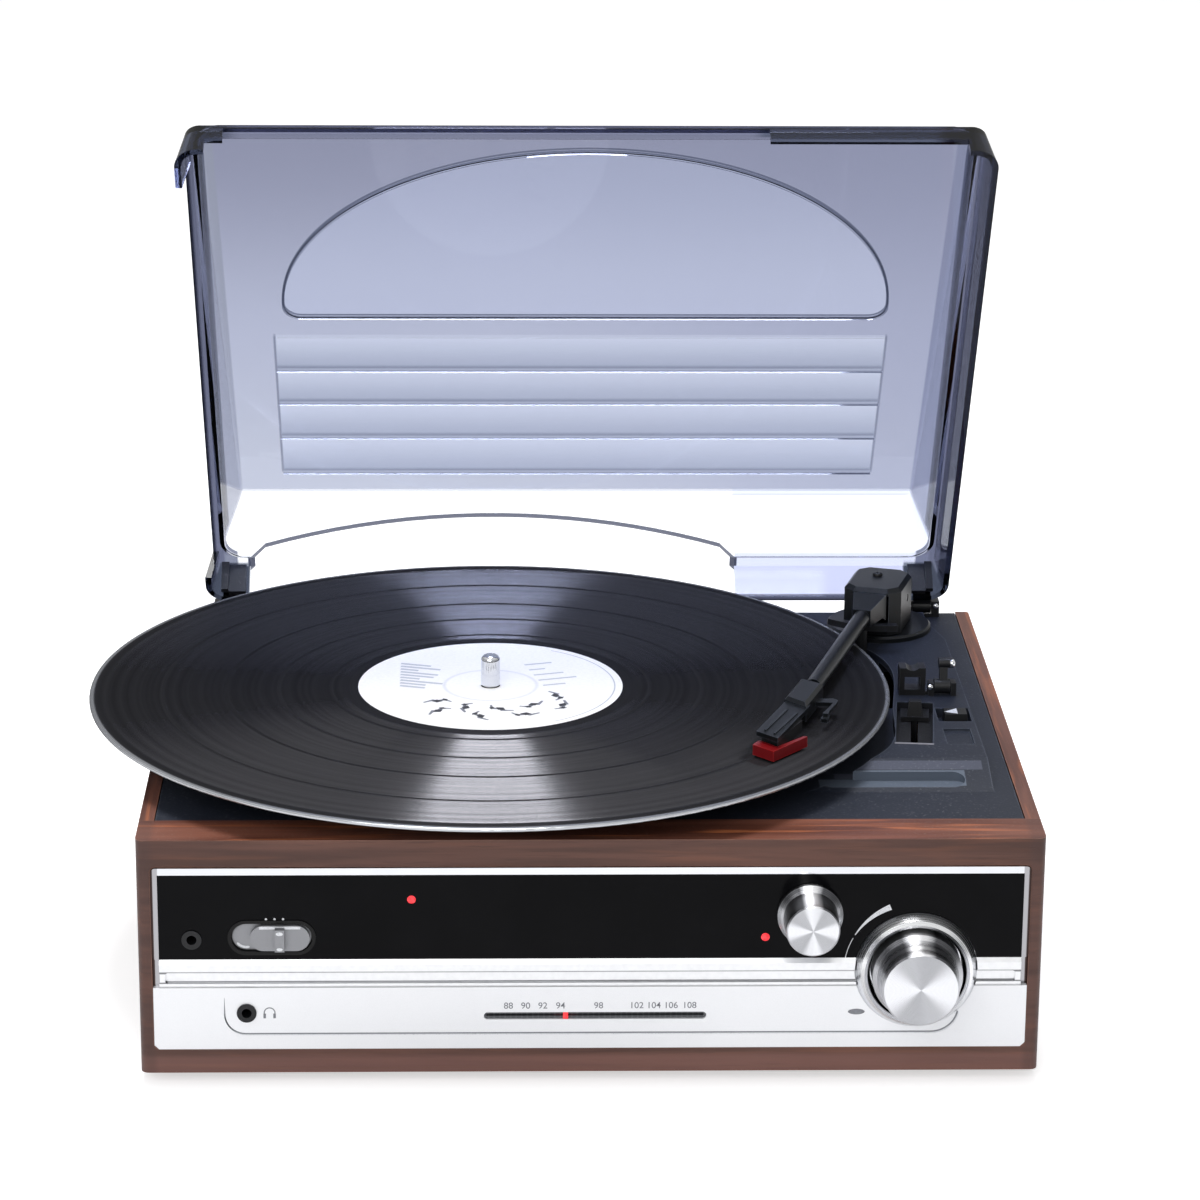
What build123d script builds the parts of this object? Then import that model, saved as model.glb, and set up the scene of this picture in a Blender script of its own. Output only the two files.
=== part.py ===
"""A stereo music centre: a compact turntable with a radio, in a wooden cabinet under a smoked lid.

Millimetres. +X is the listener's right, +Y is the back and +Z is up. The origin is on the surface the cabinet
stands on, under the middle of the cabinet. The lid stands open, and the tonearm hangs over the record.
"""

import os
from math import acos, atan2, cos, degrees, radians, sin

from build123d import *

os.makedirs("parts", exist_ok=True)

# ---------------------------------------------------------------- driving dimensions
# cabinet
CABINET_WIDTH = 320.0
CABINET_DEPTH = 256.0
CABINET_HEIGHT = 88.5
FOOT_HEIGHT = 5.0
FOOT_RADIUS = 10.0
FOOT_INSET = 30.0
FRONT_RAIL = 19.6
BOARD = 9.0
RABBET_STEP = 3.7
REAR_BOARD = 9.0
BOTTOM_BOARD = 3.0
CORNER_BLOCK = 12.0
EDGE_ROUND = 3.0

# where the tonearm stands; the turntable and the controls keep their distances from it
ARM_X = CABINET_WIDTH / 2 - 40.0
ARM_Y = CABINET_DEPTH / 2 - 35.0

# deck
DECK_SKIN = 2.5
DECK_DROP = 0.5
DECK_GAP = 0.3
ISLAND_RISE = 5.5
ISLAND_RIGHT = CABINET_WIDTH / 2 - 13.2
ISLAND_REAR = CABINET_DEPTH / 2 - 16.0
ISLAND_LEFT = ARM_X - 32.0
RAMP_TOP_Y = 68.4 - CABINET_DEPTH / 2
RAMP_FOOT_Y = 48.0 - CABINET_DEPTH / 2
WELL_WIDTH = 13.7
WELL_LENGTH = 45.1
WELL_DEPTH = 4.0
WELL_X = ARM_X + 3.6
WELL_Y = ARM_Y - 113.3
PLATTER_WELL_RADIUS = 105.0
PLATTER_WELL_DEPTH = 1.2

# turntable
SPINDLE_X = ARM_X - 155.5
SPINDLE_Y = ARM_Y - 93.0
SPINDLE_RADIUS = 3.55
SPINDLE_RISE = 12.3
SHAFT_RADIUS = 3.0
RECORD_RADIUS = 150.8
RECORD_THICKNESS = 1.4
RECORD_HEIGHT = CABINET_HEIGHT + 12.9
RECORD_HOLE = 3.63
LABEL_RADIUS = 50.0
LABEL_THICKNESS = 0.3
MAT_THICKNESS = 2.5
PLATTER_RADIUS = 99.0
PLATTER_SKIRT = 8.0
PLATTER_WALL = 3.0
BELT_RING = 75.0
MOTOR_RADIUS = 18.0
MOTOR_LENGTH = 26.0
MOTOR_OFFSET = 87.0
MOTOR_ANGLE = 135.0
PULLEY_RADIUS = 5.0
BELT_THICKNESS = 0.8
BELT_WIDTH = 3.0

# tonearm
ARM_AZIMUTH = 17.0
ARM_PARK_AZIMUTH = -4.0
ARM_LENGTH = 187.0
ARM_HEIGHT = RECORD_HEIGHT + 6.6
ARM_TUBE_RADIUS = 3.2
BASE_RADIUS = 20.7
BASE_THICKNESS = 2.5
STYLUS_GAP = 0.4
TILT_PIN_RADIUS = 1.5
REST_REACH = 79.5

# lid
LID_OPEN = 60.0
HINGE_Y = CABINET_DEPTH / 2 - 1.0
HINGE_HEIGHT = CABINET_HEIGHT + 2.9
RIM_DROP = 2.4
LID_HALF_WIDTH = CABINET_WIDTH / 2 - 9.5
LID_REAR = 6.0
LID_FRONT = CABINET_DEPTH - 5.5
FLANGE_HEIGHT = 16.5
FLANGE_FLARE = 3.0
LID_WALL = 2.0
SKIRT_WALL = 2.4
DOME_HALF_WIDTH = LID_HALF_WIDTH - 7.5
DOME_REAR = LID_REAR + 10.3
DOME_FRONT = LID_FRONT - 7.8
DOME_DRAFT = 12.5
PLATE_REAR_RISE = 43.0
PLATE_FRONT_RISE = 21.5
HINGE_X = LID_HALF_WIDTH - 10.0
HINGE_PIN_RADIUS = 1.5

# control panel
PANEL_WIDTH = CABINET_WIDTH - 10.0
PANEL_LOW = 9.2
PANEL_HIGH = CABINET_HEIGHT - 10.1
PANEL_PROUD = 0.8
PANEL_GAP = 0.15
CHASSIS_THICKNESS = 3.0
BLACK_HIGH = PANEL_HIGH - 2.7
BLACK_WIDTH = PANEL_WIDTH - 5.0
STRIP_LOW = 32.9
STRIP_HIGH = 43.6
GROOVE_LOW = 34.8
GROOVE_HIGH = 39.0
TUNING_X = PANEL_WIDTH / 2 - 77.9
TUNING_HEIGHT = BLACK_HIGH - 15.3
TUNING_RADIUS = 11.6
TUNING_FACE = 9.4
TUNING_LENGTH = 17.0
VOLUME_X = PANEL_WIDTH / 2 - 39.8
VOLUME_HEIGHT = 39.1
VOLUME_RADIUS = 16.0
VOLUME_FACE = 13.6
VOLUME_LENGTH = 19.5
BEZEL_RADIUS = 21.7
KNOB_SHAFT = 3.0
DIAL_LEFT = -38.0
DIAL_RIGHT = 41.0
DIAL_HEIGHT = 21.8
DIAL_SLOT = 2.7
POINTER_X = -9.0
DRUM_RADIUS = 14.1
AUX_X = 14.1 - PANEL_WIDTH / 2
AUX_HEIGHT = 51.2
PHONES_X = 33.0 - PANEL_WIDTH / 2
PHONES_HEIGHT = 23.3
SOCKET_BORE = 1.8
SELECTOR_LEFT = 28.0 - PANEL_WIDTH / 2
SELECTOR_RIGHT = SELECTOR_LEFT + 28.6
SELECTOR_HEIGHT = 52.0
SELECTOR_OPENING = 10.7
SELECTOR_KNOB = 21.0

# ---------------------------------------------------------------- worked-out places
CABINET_BOTTOM = FOOT_HEIGHT
CABINET_TOP = CABINET_BOTTOM + CABINET_HEIGHT
FRONT_Y = -CABINET_DEPTH / 2
REAR_Y = CABINET_DEPTH / 2
RAIL_REAR_Y = FRONT_Y + FRONT_RAIL
INNER_X = CABINET_WIDTH / 2 - BOARD
RAIL_X = INNER_X + RABBET_STEP
REAR_BOARD_Y = REAR_Y - REAR_BOARD
BOTTOM_TOP = CABINET_BOTTOM + BOTTOM_BOARD
DECK_TOP = CABINET_TOP - DECK_DROP
DECK_UNDER = DECK_TOP - DECK_SKIN
ISLAND_TOP = DECK_TOP + ISLAND_RISE
RECORD_TOP = CABINET_BOTTOM + RECORD_HEIGHT
MAT_TOP = RECORD_TOP - RECORD_THICKNESS
PLATTER_TOP = MAT_TOP - MAT_THICKNESS
PLATTER_LOW = PLATTER_TOP - PLATTER_SKIRT
WELL_FLOOR = DECK_TOP - PLATTER_WELL_DEPTH
ARM_Z = CABINET_BOTTOM + ARM_HEIGHT
BASE_TOP = ISLAND_TOP + BASE_THICKNESS
HINGE_Z = CABINET_BOTTOM + HINGE_HEIGHT
TUNING_Z = CABINET_BOTTOM + TUNING_HEIGHT
VOLUME_Z = CABINET_BOTTOM + VOLUME_HEIGHT
DIAL_Z = CABINET_BOTTOM + DIAL_HEIGHT
AUX_Z = CABINET_BOTTOM + AUX_HEIGHT
PHONES_Z = CABINET_BOTTOM + PHONES_HEIGHT
SELECTOR_Z = CABINET_BOTTOM + SELECTOR_HEIGHT
STRIP_LOW_Z = CABINET_BOTTOM + STRIP_LOW
STRIP_HIGH_Z = CABINET_BOTTOM + STRIP_HIGH
BLACK_HIGH_Z = CABINET_BOTTOM + BLACK_HIGH
PANEL_LOW_Z = CABINET_BOTTOM + PANEL_LOW
PANEL_HIGH_Z = CABINET_BOTTOM + PANEL_HIGH
CHASSIS_FRONT = FRONT_Y + 1.5
CHASSIS_REAR = CHASSIS_FRONT + CHASSIS_THICKNESS
BOARD_FRONT = RAIL_REAR_Y + 2.4
BOARD_REAR = BOARD_FRONT + 1.6
TILT_Z = ARM_Z - 1.0
TUBE_LOW = ARM_Z - ARM_TUBE_RADIUS
MOTOR_X = SPINDLE_X + MOTOR_OFFSET * cos(radians(MOTOR_ANGLE))
MOTOR_Y = SPINDLE_Y + MOTOR_OFFSET * sin(radians(MOTOR_ANGLE))
OPEN_COS = cos(radians(LID_OPEN))
OPEN_SIN = sin(radians(LID_OPEN))
ARM_SIN = sin(radians(ARM_AZIMUTH))
ARM_COS = cos(radians(ARM_AZIMUTH))


# ---------------------------------------------------------------- work planes
def level(z):
    """Horizontal plane at height z."""
    return Plane.XY.offset(z)


def front(y):
    """Upright plane facing the listener: local x is X, local y is Z, extrusion runs forward."""
    return Plane(origin=(0, y, 0), x_dir=(1, 0, 0), z_dir=(0, -1, 0))


def side(x):
    """Upright plane across the cabinet: local x is Y, local y is Z, extrusion runs to the right."""
    return Plane(origin=(x, 0, 0), x_dir=(0, 1, 0), z_dir=(1, 0, 0))


def upright(x, y):
    """Upright plane through one axis, for turned shapes: local x is the radius, local y is Z."""
    return Plane(origin=(x, y, 0), x_dir=(1, 0, 0), z_dir=(0, -1, 0))


def knob_plane(x, z):
    """Level plane through a knob's axis: local x is the radius, local y runs forward."""
    return Plane(origin=(x, 0, z), x_dir=(1, 0, 0), z_dir=(0, 0, -1))


def arm_level(z):
    """Horizontal plane of the tonearm: local x runs along the arm, local y to its right."""
    return Plane(origin=(ARM_X, ARM_Y, z), x_dir=(-ARM_SIN, -ARM_COS, 0), z_dir=(0, 0, 1))


def arm_side(t):
    """Upright plane along the tonearm: local x runs along the arm, local y is Z."""
    return Plane(
        origin=(ARM_X + t * ARM_COS, ARM_Y - t * ARM_SIN, 0),
        x_dir=(-ARM_SIN, -ARM_COS, 0),
        z_dir=(-ARM_COS, ARM_SIN, 0),
    )


def arm_cross(s):
    """Upright plane across the tonearm: local x runs to the right, local y is Z."""
    return Plane(
        origin=(ARM_X - s * ARM_SIN, ARM_Y - s * ARM_COS, 0),
        x_dir=(ARM_COS, -ARM_SIN, 0),
        z_dir=(-ARM_SIN, -ARM_COS, 0),
    )


def lid_point(u, v, w):
    """A point of the lid: u across, v forward of the hinge and w above the rim, with the lid open."""
    rise = w - RIM_DROP
    return (u, HINGE_Y - v * OPEN_COS + rise * OPEN_SIN, HINGE_Z + v * OPEN_SIN + rise * OPEN_COS)


def lid_level(w):
    """Plane parallel to the lid's rim: local x is across, local y runs back towards the hinge."""
    return Plane(origin=lid_point(0, 0, w), x_dir=(1, 0, 0), z_dir=(0, OPEN_SIN, OPEN_COS))


def lid_side(u):
    """Plane across the lid: local x runs forward, local y is the height, extrusion runs to the left."""
    return Plane(origin=lid_point(u, 0, 0), x_dir=(0, -OPEN_COS, OPEN_SIN), z_dir=(-1, 0, 0))


def lid_front(v):
    """Plane parallel to the lid's front: local x is across, local y is the height."""
    return Plane(origin=lid_point(0, v, 0), x_dir=(1, 0, 0), z_dir=(0, -OPEN_COS, OPEN_SIN))


# ---------------------------------------------------------------- cabinet
SCREW_SHANK = 1.5
SCREW_HEAD = 3.0
HEAD_THICKNESS = 1.5
FOOT_X = CABINET_WIDTH / 2 - FOOT_INSET
FOOT_Y = CABINET_DEPTH / 2 - FOOT_INSET
FOOT_RECESS = 2.5
BOSS_RADIUS = 5.0
BOSS_TOP = BOTTOM_TOP + 6.0
BLOCK_X = INNER_X - CORNER_BLOCK / 2
BLOCK_FRONT_Y = RAIL_REAR_Y + CORNER_BLOCK / 2
BLOCK_REAR_Y = REAR_BOARD_Y - CORNER_BLOCK / 2
SPEAKER_X = INNER_X - 56.0
SPEAKER_Y = -40.0
SPEAKER_RADIUS = 33.0
SLOT_WIDTH = 3.0
SLOT_PITCH = 8.0
TERMINAL_X = -20.0
TERMINAL_Z = CABINET_BOTTOM + 34.0
TERMINAL_WIDTH = 56.0
TERMINAL_HEIGHT = 30.0
INLET_X = 56.0 - INNER_X
INLET_Z = CABINET_BOTTOM + 22.0
INLET_WIDTH = 24.0
INLET_HEIGHT = 16.0

with BuildPart() as front_frame:
    with BuildSketch(front(RAIL_REAR_Y)):
        with Locations((0, CABINET_BOTTOM + CABINET_HEIGHT / 2)):
            Rectangle(CABINET_WIDTH, CABINET_HEIGHT)
        with Locations((0, (PANEL_LOW_Z + PANEL_HIGH_Z) / 2)):
            RectangleRounded(PANEL_WIDTH, PANEL_HIGH - PANEL_LOW, 2, mode=Mode.SUBTRACT)
    extrude(amount=FRONT_RAIL)
    corners = front_frame.edges().filter_by(Axis.Z).group_by(Axis.Y)[0]
    fillet(corners.filter_by(lambda e: abs(e.center().X) > CABINET_WIDTH / 2 - 1), radius=EDGE_ROUND)
front_frame.part.label = "front_frame"
export_step(front_frame.part, "parts/front_frame.step")

with BuildPart() as side_panels:
    with BuildSketch(front(REAR_Y)):
        with Locations(((INNER_X + CABINET_WIDTH / 2) / 2, CABINET_BOTTOM + CABINET_HEIGHT / 2)):
            Rectangle(BOARD, CABINET_HEIGHT)
        with Locations(((INNER_X + RAIL_X) / 2, (DECK_UNDER + CABINET_TOP) / 2)):
            Rectangle(RABBET_STEP, CABINET_TOP - DECK_UNDER, mode=Mode.SUBTRACT)
    extrude(amount=REAR_Y - RAIL_REAR_Y)
    rear_corner = side_panels.edges().filter_by(Axis.Z).group_by(Axis.Y)[-1].group_by(Axis.X)[-1]
    fillet(rear_corner, radius=EDGE_ROUND / 2)
    mirror(about=Plane.YZ)
side_panels.part.label = "side_panels"
export_step(side_panels.part, "parts/side_panels.step")

with BuildPart() as rear_panel:
    with BuildSketch(front(REAR_Y)):
        with Locations((0, (CABINET_BOTTOM + DECK_UNDER) / 2)):
            Rectangle(2 * INNER_X, DECK_UNDER - CABINET_BOTTOM)
        with Locations((TERMINAL_X, TERMINAL_Z)):
            RectangleRounded(TERMINAL_WIDTH, TERMINAL_HEIGHT, 3, mode=Mode.SUBTRACT)
        with Locations((INLET_X, INLET_Z)):
            RectangleRounded(INLET_WIDTH, INLET_HEIGHT, 2, mode=Mode.SUBTRACT)
    extrude(amount=REAR_BOARD)
rear_panel.part.label = "rear_panel"
export_step(rear_panel.part, "parts/rear_panel.step")

with BuildPart() as bottom_panel:
    with BuildSketch(level(CABINET_BOTTOM)):
        with Locations((0, (RAIL_REAR_Y + REAR_BOARD_Y) / 2)):
            Rectangle(2 * INNER_X, REAR_BOARD_Y - RAIL_REAR_Y)
        with Locations((-SPEAKER_X, SPEAKER_Y), (SPEAKER_X, SPEAKER_Y)):
            with GridLocations(0, SLOT_PITCH, 1, 6):
                SlotOverall(SPEAKER_RADIUS * 1.2, SLOT_WIDTH, mode=Mode.SUBTRACT)
    extrude(amount=BOTTOM_BOARD)
    with BuildSketch(level(BOTTOM_TOP)):
        with GridLocations(2 * FOOT_X, 2 * FOOT_Y, 2, 2):
            Circle(BOSS_RADIUS)
    extrude(amount=BOSS_TOP - BOTTOM_TOP)
    with BuildSketch(level(CABINET_BOTTOM)):
        with GridLocations(2 * FOOT_X, 2 * FOOT_Y, 2, 2):
            Circle(SCREW_SHANK)
    extrude(amount=BOSS_TOP - CABINET_BOTTOM - 1, mode=Mode.SUBTRACT)
    with BuildSketch(level(CABINET_BOTTOM)):
        with Locations((BLOCK_X, BLOCK_FRONT_Y), (-BLOCK_X, BLOCK_FRONT_Y)):
            Circle(SCREW_SHANK)
        with Locations((BLOCK_X, BLOCK_REAR_Y), (-BLOCK_X, BLOCK_REAR_Y)):
            Circle(SCREW_SHANK)
    extrude(amount=BOTTOM_BOARD, mode=Mode.SUBTRACT)
bottom_panel.part.label = "bottom_panel"
export_step(bottom_panel.part, "parts/bottom_panel.step")

with BuildPart() as corner_blocks:
    with BuildSketch(level(BOTTOM_TOP)):
        with Locations((BLOCK_X, BLOCK_FRONT_Y), (-BLOCK_X, BLOCK_FRONT_Y)):
            Rectangle(CORNER_BLOCK, CORNER_BLOCK)
            Circle(SCREW_SHANK, mode=Mode.SUBTRACT)
        with Locations((BLOCK_X, BLOCK_REAR_Y), (-BLOCK_X, BLOCK_REAR_Y)):
            Rectangle(CORNER_BLOCK, CORNER_BLOCK)
            Circle(SCREW_SHANK, mode=Mode.SUBTRACT)
    extrude(amount=DECK_UNDER - BOTTOM_TOP)
corner_blocks.part.label = "corner_blocks"
export_step(corner_blocks.part, "parts/corner_blocks.step")

FOOT_HEAD_LOW = FOOT_RECESS - HEAD_THICKNESS
PANEL_HEAD_LOW = CABINET_BOTTOM - HEAD_THICKNESS
with BuildPart() as base_screws:
    with BuildSketch(level(FOOT_HEAD_LOW)):
        with GridLocations(2 * FOOT_X, 2 * FOOT_Y, 2, 2):
            Circle(SCREW_HEAD)
    extrude(amount=HEAD_THICKNESS)
    with BuildSketch(level(PANEL_HEAD_LOW)):
        with Locations((BLOCK_X, BLOCK_FRONT_Y), (-BLOCK_X, BLOCK_FRONT_Y)):
            Circle(SCREW_HEAD)
        with Locations((BLOCK_X, BLOCK_REAR_Y), (-BLOCK_X, BLOCK_REAR_Y)):
            Circle(SCREW_HEAD)
    extrude(amount=HEAD_THICKNESS)
    with BuildSketch(level(FOOT_RECESS)):
        with GridLocations(2 * FOOT_X, 2 * FOOT_Y, 2, 2):
            Circle(SCREW_SHANK)
    extrude(amount=FOOT_HEIGHT - FOOT_RECESS + BOTTOM_BOARD + 4)
    with BuildSketch(level(CABINET_BOTTOM)):
        with Locations((BLOCK_X, BLOCK_FRONT_Y), (-BLOCK_X, BLOCK_FRONT_Y)):
            Circle(SCREW_SHANK)
        with Locations((BLOCK_X, BLOCK_REAR_Y), (-BLOCK_X, BLOCK_REAR_Y)):
            Circle(SCREW_SHANK)
    extrude(amount=BOTTOM_BOARD + 14)
    with BuildSketch(level(FOOT_HEAD_LOW)):
        with GridLocations(2 * FOOT_X, 2 * FOOT_Y, 2, 2):
            Rectangle(3.6, 0.8)
            Rectangle(0.8, 3.6)
    extrude(amount=0.9, mode=Mode.SUBTRACT)
    with BuildSketch(level(PANEL_HEAD_LOW)):
        with Locations((BLOCK_X, BLOCK_FRONT_Y), (-BLOCK_X, BLOCK_FRONT_Y)):
            Rectangle(3.6, 0.8)
            Rectangle(0.8, 3.6)
        with Locations((BLOCK_X, BLOCK_REAR_Y), (-BLOCK_X, BLOCK_REAR_Y)):
            Rectangle(3.6, 0.8)
            Rectangle(0.8, 3.6)
    extrude(amount=0.9, mode=Mode.SUBTRACT)
base_screws.part.label = "base_screws"
export_step(base_screws.part, "parts/base_screws.step")

with BuildPart() as rubber_feet:
    with BuildSketch(level(0)):
        with GridLocations(2 * FOOT_X, 2 * FOOT_Y, 2, 2):
            Circle(FOOT_RADIUS)
    extrude(amount=FOOT_HEIGHT)
    with BuildSketch(level(0)):
        with GridLocations(2 * FOOT_X, 2 * FOOT_Y, 2, 2):
            Circle(SCREW_HEAD + 0.6)
    extrude(amount=FOOT_RECESS, mode=Mode.SUBTRACT)
    with BuildSketch(level(0)):
        with GridLocations(2 * FOOT_X, 2 * FOOT_Y, 2, 2):
            Circle(SCREW_SHANK)
    extrude(amount=FOOT_HEIGHT, mode=Mode.SUBTRACT)
    chamfer(rubber_feet.edges().group_by(Axis.Z)[0].filter_by(lambda e: e.radius > 5), 0.8)
rubber_feet.part.label = "rubber_feet"
export_step(rubber_feet.part, "parts/rubber_feet.step")

# ---------------------------------------------------------------- deck and what stands on it
BEARING_SLEEVE = 6.0
BEARING_LOW = DECK_TOP - 23.0
BUSH_RADIUS = 5.0
MOTOR_HOLE = PULLEY_RADIUS + 2.0
ISLAND_EDGE = [
    (-42.0, RAMP_FOOT_Y),
    (-18.0, RAMP_TOP_Y - 2.4),
    (-7.4, ARM_Y - 137.3),
    (-3.6, ARM_Y - 103.5),
    (-0.2, ARM_Y - 71.0),
    (0.3, ARM_Y - 53.0),
    (-5.7, ARM_Y - 30.2),
    (-17.0, ARM_Y - 15.0),
    (-32.0, ARM_Y + 1.0),
]
WELL_TURN = -5.8
WELL_FLOOR_Z = ISLAND_TOP - WELL_DEPTH
TROUGH_NEAR = FRONT_Y + 51.0
TROUGH_FAR = FRONT_Y + 60.2
TROUGH_LEFT = ARM_X - 36.0
TROUGH_RIGHT = ARM_X + 17.0
STOP_X = ARM_X + 19.0
STOP_Y = ARM_Y - 105.0
STOP_WIDTH = 12.5
STOP_LENGTH = 15.0
TRAY_X = ARM_X + 18.5
TRAY_Y = ARM_Y - 129.0
POCKET_SKIN = 2.5
LEVER_SLOT = 2.6
LIFT_X = ARM_X - 9.5
LIFT_Y = ARM_Y - 27.0
LIFT_ARC = 30.0
LIFT_TOP = TUBE_LOW - 0.3
LIFT_STEM = 2.5

with BuildPart() as deck_plate:
    with BuildSketch(level(DECK_UNDER)):
        with Locations((0, (RAIL_REAR_Y + REAR_Y) / 2)):
            Rectangle(2 * (RAIL_X - DECK_GAP), REAR_Y - RAIL_REAR_Y - 2 * DECK_GAP)
    extrude(amount=DECK_SKIN)
    with BuildSketch(level(DECK_TOP)):
        with BuildLine():
            rim = Spline(*[(ARM_X + x, y) for x, y in ISLAND_EDGE])
            Polyline(
                rim @ 1,
                (ISLAND_LEFT, ISLAND_REAR),
                (ISLAND_RIGHT - 7, ISLAND_REAR),
                (ISLAND_RIGHT - 7, ISLAND_REAR - 12),
                (ISLAND_RIGHT - 1.5, ISLAND_REAR - 34),
                (ISLAND_RIGHT, RAMP_FOOT_Y),
                rim @ 0,
            )
        make_face()
    extrude(amount=ISLAND_RISE)
    with BuildSketch(side(ISLAND_LEFT - 30)):
        with BuildLine():
            Polyline(
                (RAMP_FOOT_Y, DECK_TOP),
                (RAMP_TOP_Y, ISLAND_TOP),
                (RAMP_TOP_Y, ISLAND_TOP + 2),
                (RAMP_FOOT_Y - 2, ISLAND_TOP + 2),
                (RAMP_FOOT_Y - 2, DECK_TOP),
                close=True,
            )
        make_face()
    extrude(amount=ISLAND_RIGHT - ISLAND_LEFT + 32, mode=Mode.SUBTRACT)
    with BuildSketch(level(DECK_TOP)):
        with Locations(((TROUGH_LEFT + TROUGH_RIGHT) / 2, (TROUGH_NEAR + TROUGH_FAR) / 2)):
            SlotOverall(TROUGH_RIGHT - TROUGH_LEFT, TROUGH_FAR - TROUGH_NEAR)
    extrude(amount=ISLAND_RISE + 1, mode=Mode.SUBTRACT)
    with BuildSketch(level(WELL_FLOOR_Z)):
        with Locations(Location((WELL_X, WELL_Y), WELL_TURN)):
            Rectangle(WELL_WIDTH, WELL_LENGTH)
        with Locations((STOP_X, STOP_Y)):
            Rectangle(STOP_WIDTH, STOP_LENGTH)
    extrude(amount=WELL_DEPTH + 1, mode=Mode.SUBTRACT)
    with BuildSketch(level(ISLAND_TOP - 1)):
        with Locations((TRAY_X, TRAY_Y)):
            Rectangle(10, 17)
    extrude(amount=2, mode=Mode.SUBTRACT)
    with BuildSketch(level(DECK_UNDER)):
        with Locations(Location((WELL_X, WELL_Y), WELL_TURN)):
            Rectangle(LEVER_SLOT, WELL_LENGTH - 4)
        with Locations((STOP_X + 1, STOP_Y)):
            Rectangle(LEVER_SLOT, STOP_LENGTH - 2)
    extrude(amount=WELL_FLOOR_Z - DECK_UNDER, mode=Mode.SUBTRACT)
    with BuildSketch(level(DECK_UNDER)):
        with Locations((ARM_X + 9.0, ARM_Y - 57.0)):
            Rectangle(24, 50)
    extrude(amount=ISLAND_TOP - POCKET_SKIN - DECK_UNDER, mode=Mode.SUBTRACT)
    with BuildSketch(level(WELL_FLOOR)):
        with Locations((SPINDLE_X, SPINDLE_Y)):
            Circle(PLATTER_WELL_RADIUS)
    extrude(amount=PLATTER_WELL_DEPTH, mode=Mode.SUBTRACT)
    with BuildSketch(level(DECK_UNDER)):
        with Locations((SPINDLE_X, SPINDLE_Y)):
            Circle(BEARING_SLEEVE + 8)
        with Locations((ARM_X, ARM_Y)):
            Circle(BUSH_RADIUS + 4)
    extrude(amount=-6)
    with BuildSketch(level(DECK_UNDER - 6)):
        with Locations((SPINDLE_X, SPINDLE_Y)):
            Circle(BEARING_SLEEVE)
        with Locations((ARM_X, ARM_Y)):
            Circle(BUSH_RADIUS)
        with Locations((MOTOR_X, MOTOR_Y)):
            Circle(MOTOR_HOLE)
        with Locations((LIFT_X, LIFT_Y)):
            Circle(LIFT_STEM + 0.05)
    extrude(amount=ISLAND_TOP - DECK_UNDER + 7, mode=Mode.SUBTRACT)
deck_plate.part.label = "deck_plate"
export_step(deck_plate.part, "parts/deck_plate.step")

with BuildPart() as tonearm_base:
    with BuildSketch(level(ISLAND_TOP)):
        with Locations((ARM_X, ARM_Y)):
            Circle(BASE_RADIUS)
    extrude(amount=BASE_THICKNESS)
    chamfer(tonearm_base.edges().group_by(Axis.Z)[-1], 0.8)
    with BuildSketch(level(ISLAND_TOP)):
        with Locations((ARM_X, ARM_Y)):
            Circle(BUSH_RADIUS - 0.05)
    extrude(amount=DECK_UNDER - 9 - ISLAND_TOP)
    with BuildSketch(level(DECK_UNDER - 9)):
        with Locations((ARM_X, ARM_Y)):
            Circle(SHAFT_RADIUS + 0.05)
    extrude(amount=BASE_TOP - DECK_UNDER + 9, mode=Mode.SUBTRACT)
tonearm_base.part.label = "tonearm_base"
export_step(tonearm_base.part, "parts/tonearm_base.step")

REST_X = ARM_X - REST_REACH * sin(radians(ARM_PARK_AZIMUTH))
REST_Y = ARM_Y - REST_REACH * cos(radians(ARM_PARK_AZIMUTH))
REST_TOP = TUBE_LOW - 0.4
CUE_PIVOT_X = ARM_X + 17.0
CUE_PIVOT_Y = REST_Y - 1.7
CUE_PIVOT_Z = ISLAND_TOP + 3.2
CUE_HUB = 2.9
CUE_REACH = 9.0
CUE_AXLE = 1.0
with BuildPart() as arm_rest:
    with BuildSketch(level(ISLAND_TOP)):
        with Locations((REST_X, REST_Y)):
            Rectangle(10, 7)
    extrude(amount=REST_TOP - ISLAND_TOP)
    with BuildSketch(front(REST_Y)):
        with Locations((REST_X, REST_TOP + ARM_TUBE_RADIUS - 0.9)):
            Circle(ARM_TUBE_RADIUS + 0.1)
        with Locations((REST_X, (ISLAND_TOP + REST_TOP) / 2 - 0.6)):
            Rectangle(6, 5)
    extrude(amount=10, both=True, mode=Mode.SUBTRACT)
    with BuildSketch(level(ISLAND_TOP)):
        with Locations(((REST_X + 5 + CUE_PIVOT_X - 3.3) / 2, CUE_PIVOT_Y)):
            Rectangle(CUE_PIVOT_X - 3.3 - REST_X - 5, 2)
    extrude(amount=1.2)
    with BuildSketch(side(CUE_PIVOT_X - 5.3)):
        with Locations((CUE_PIVOT_Y, (ISLAND_TOP + CUE_PIVOT_Z + 1.9) / 2)):
            Rectangle(5, CUE_PIVOT_Z + 1.9 - ISLAND_TOP)
    extrude(amount=2)
    with BuildSketch(side(CUE_PIVOT_X + 3.3)):
        with Locations((CUE_PIVOT_Y, (ISLAND_TOP + CUE_PIVOT_Z + 1.9) / 2)):
            Rectangle(5, CUE_PIVOT_Z + 1.9 - ISLAND_TOP)
    extrude(amount=2)
    with BuildSketch(side(CUE_PIVOT_X - 5.3)):
        with Locations((CUE_PIVOT_Y, CUE_PIVOT_Z)):
            Circle(CUE_AXLE + 0.05)
    extrude(amount=10.6, mode=Mode.SUBTRACT)
arm_rest.part.label = "arm_rest"
export_step(arm_rest.part, "parts/arm_rest.step")

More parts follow.
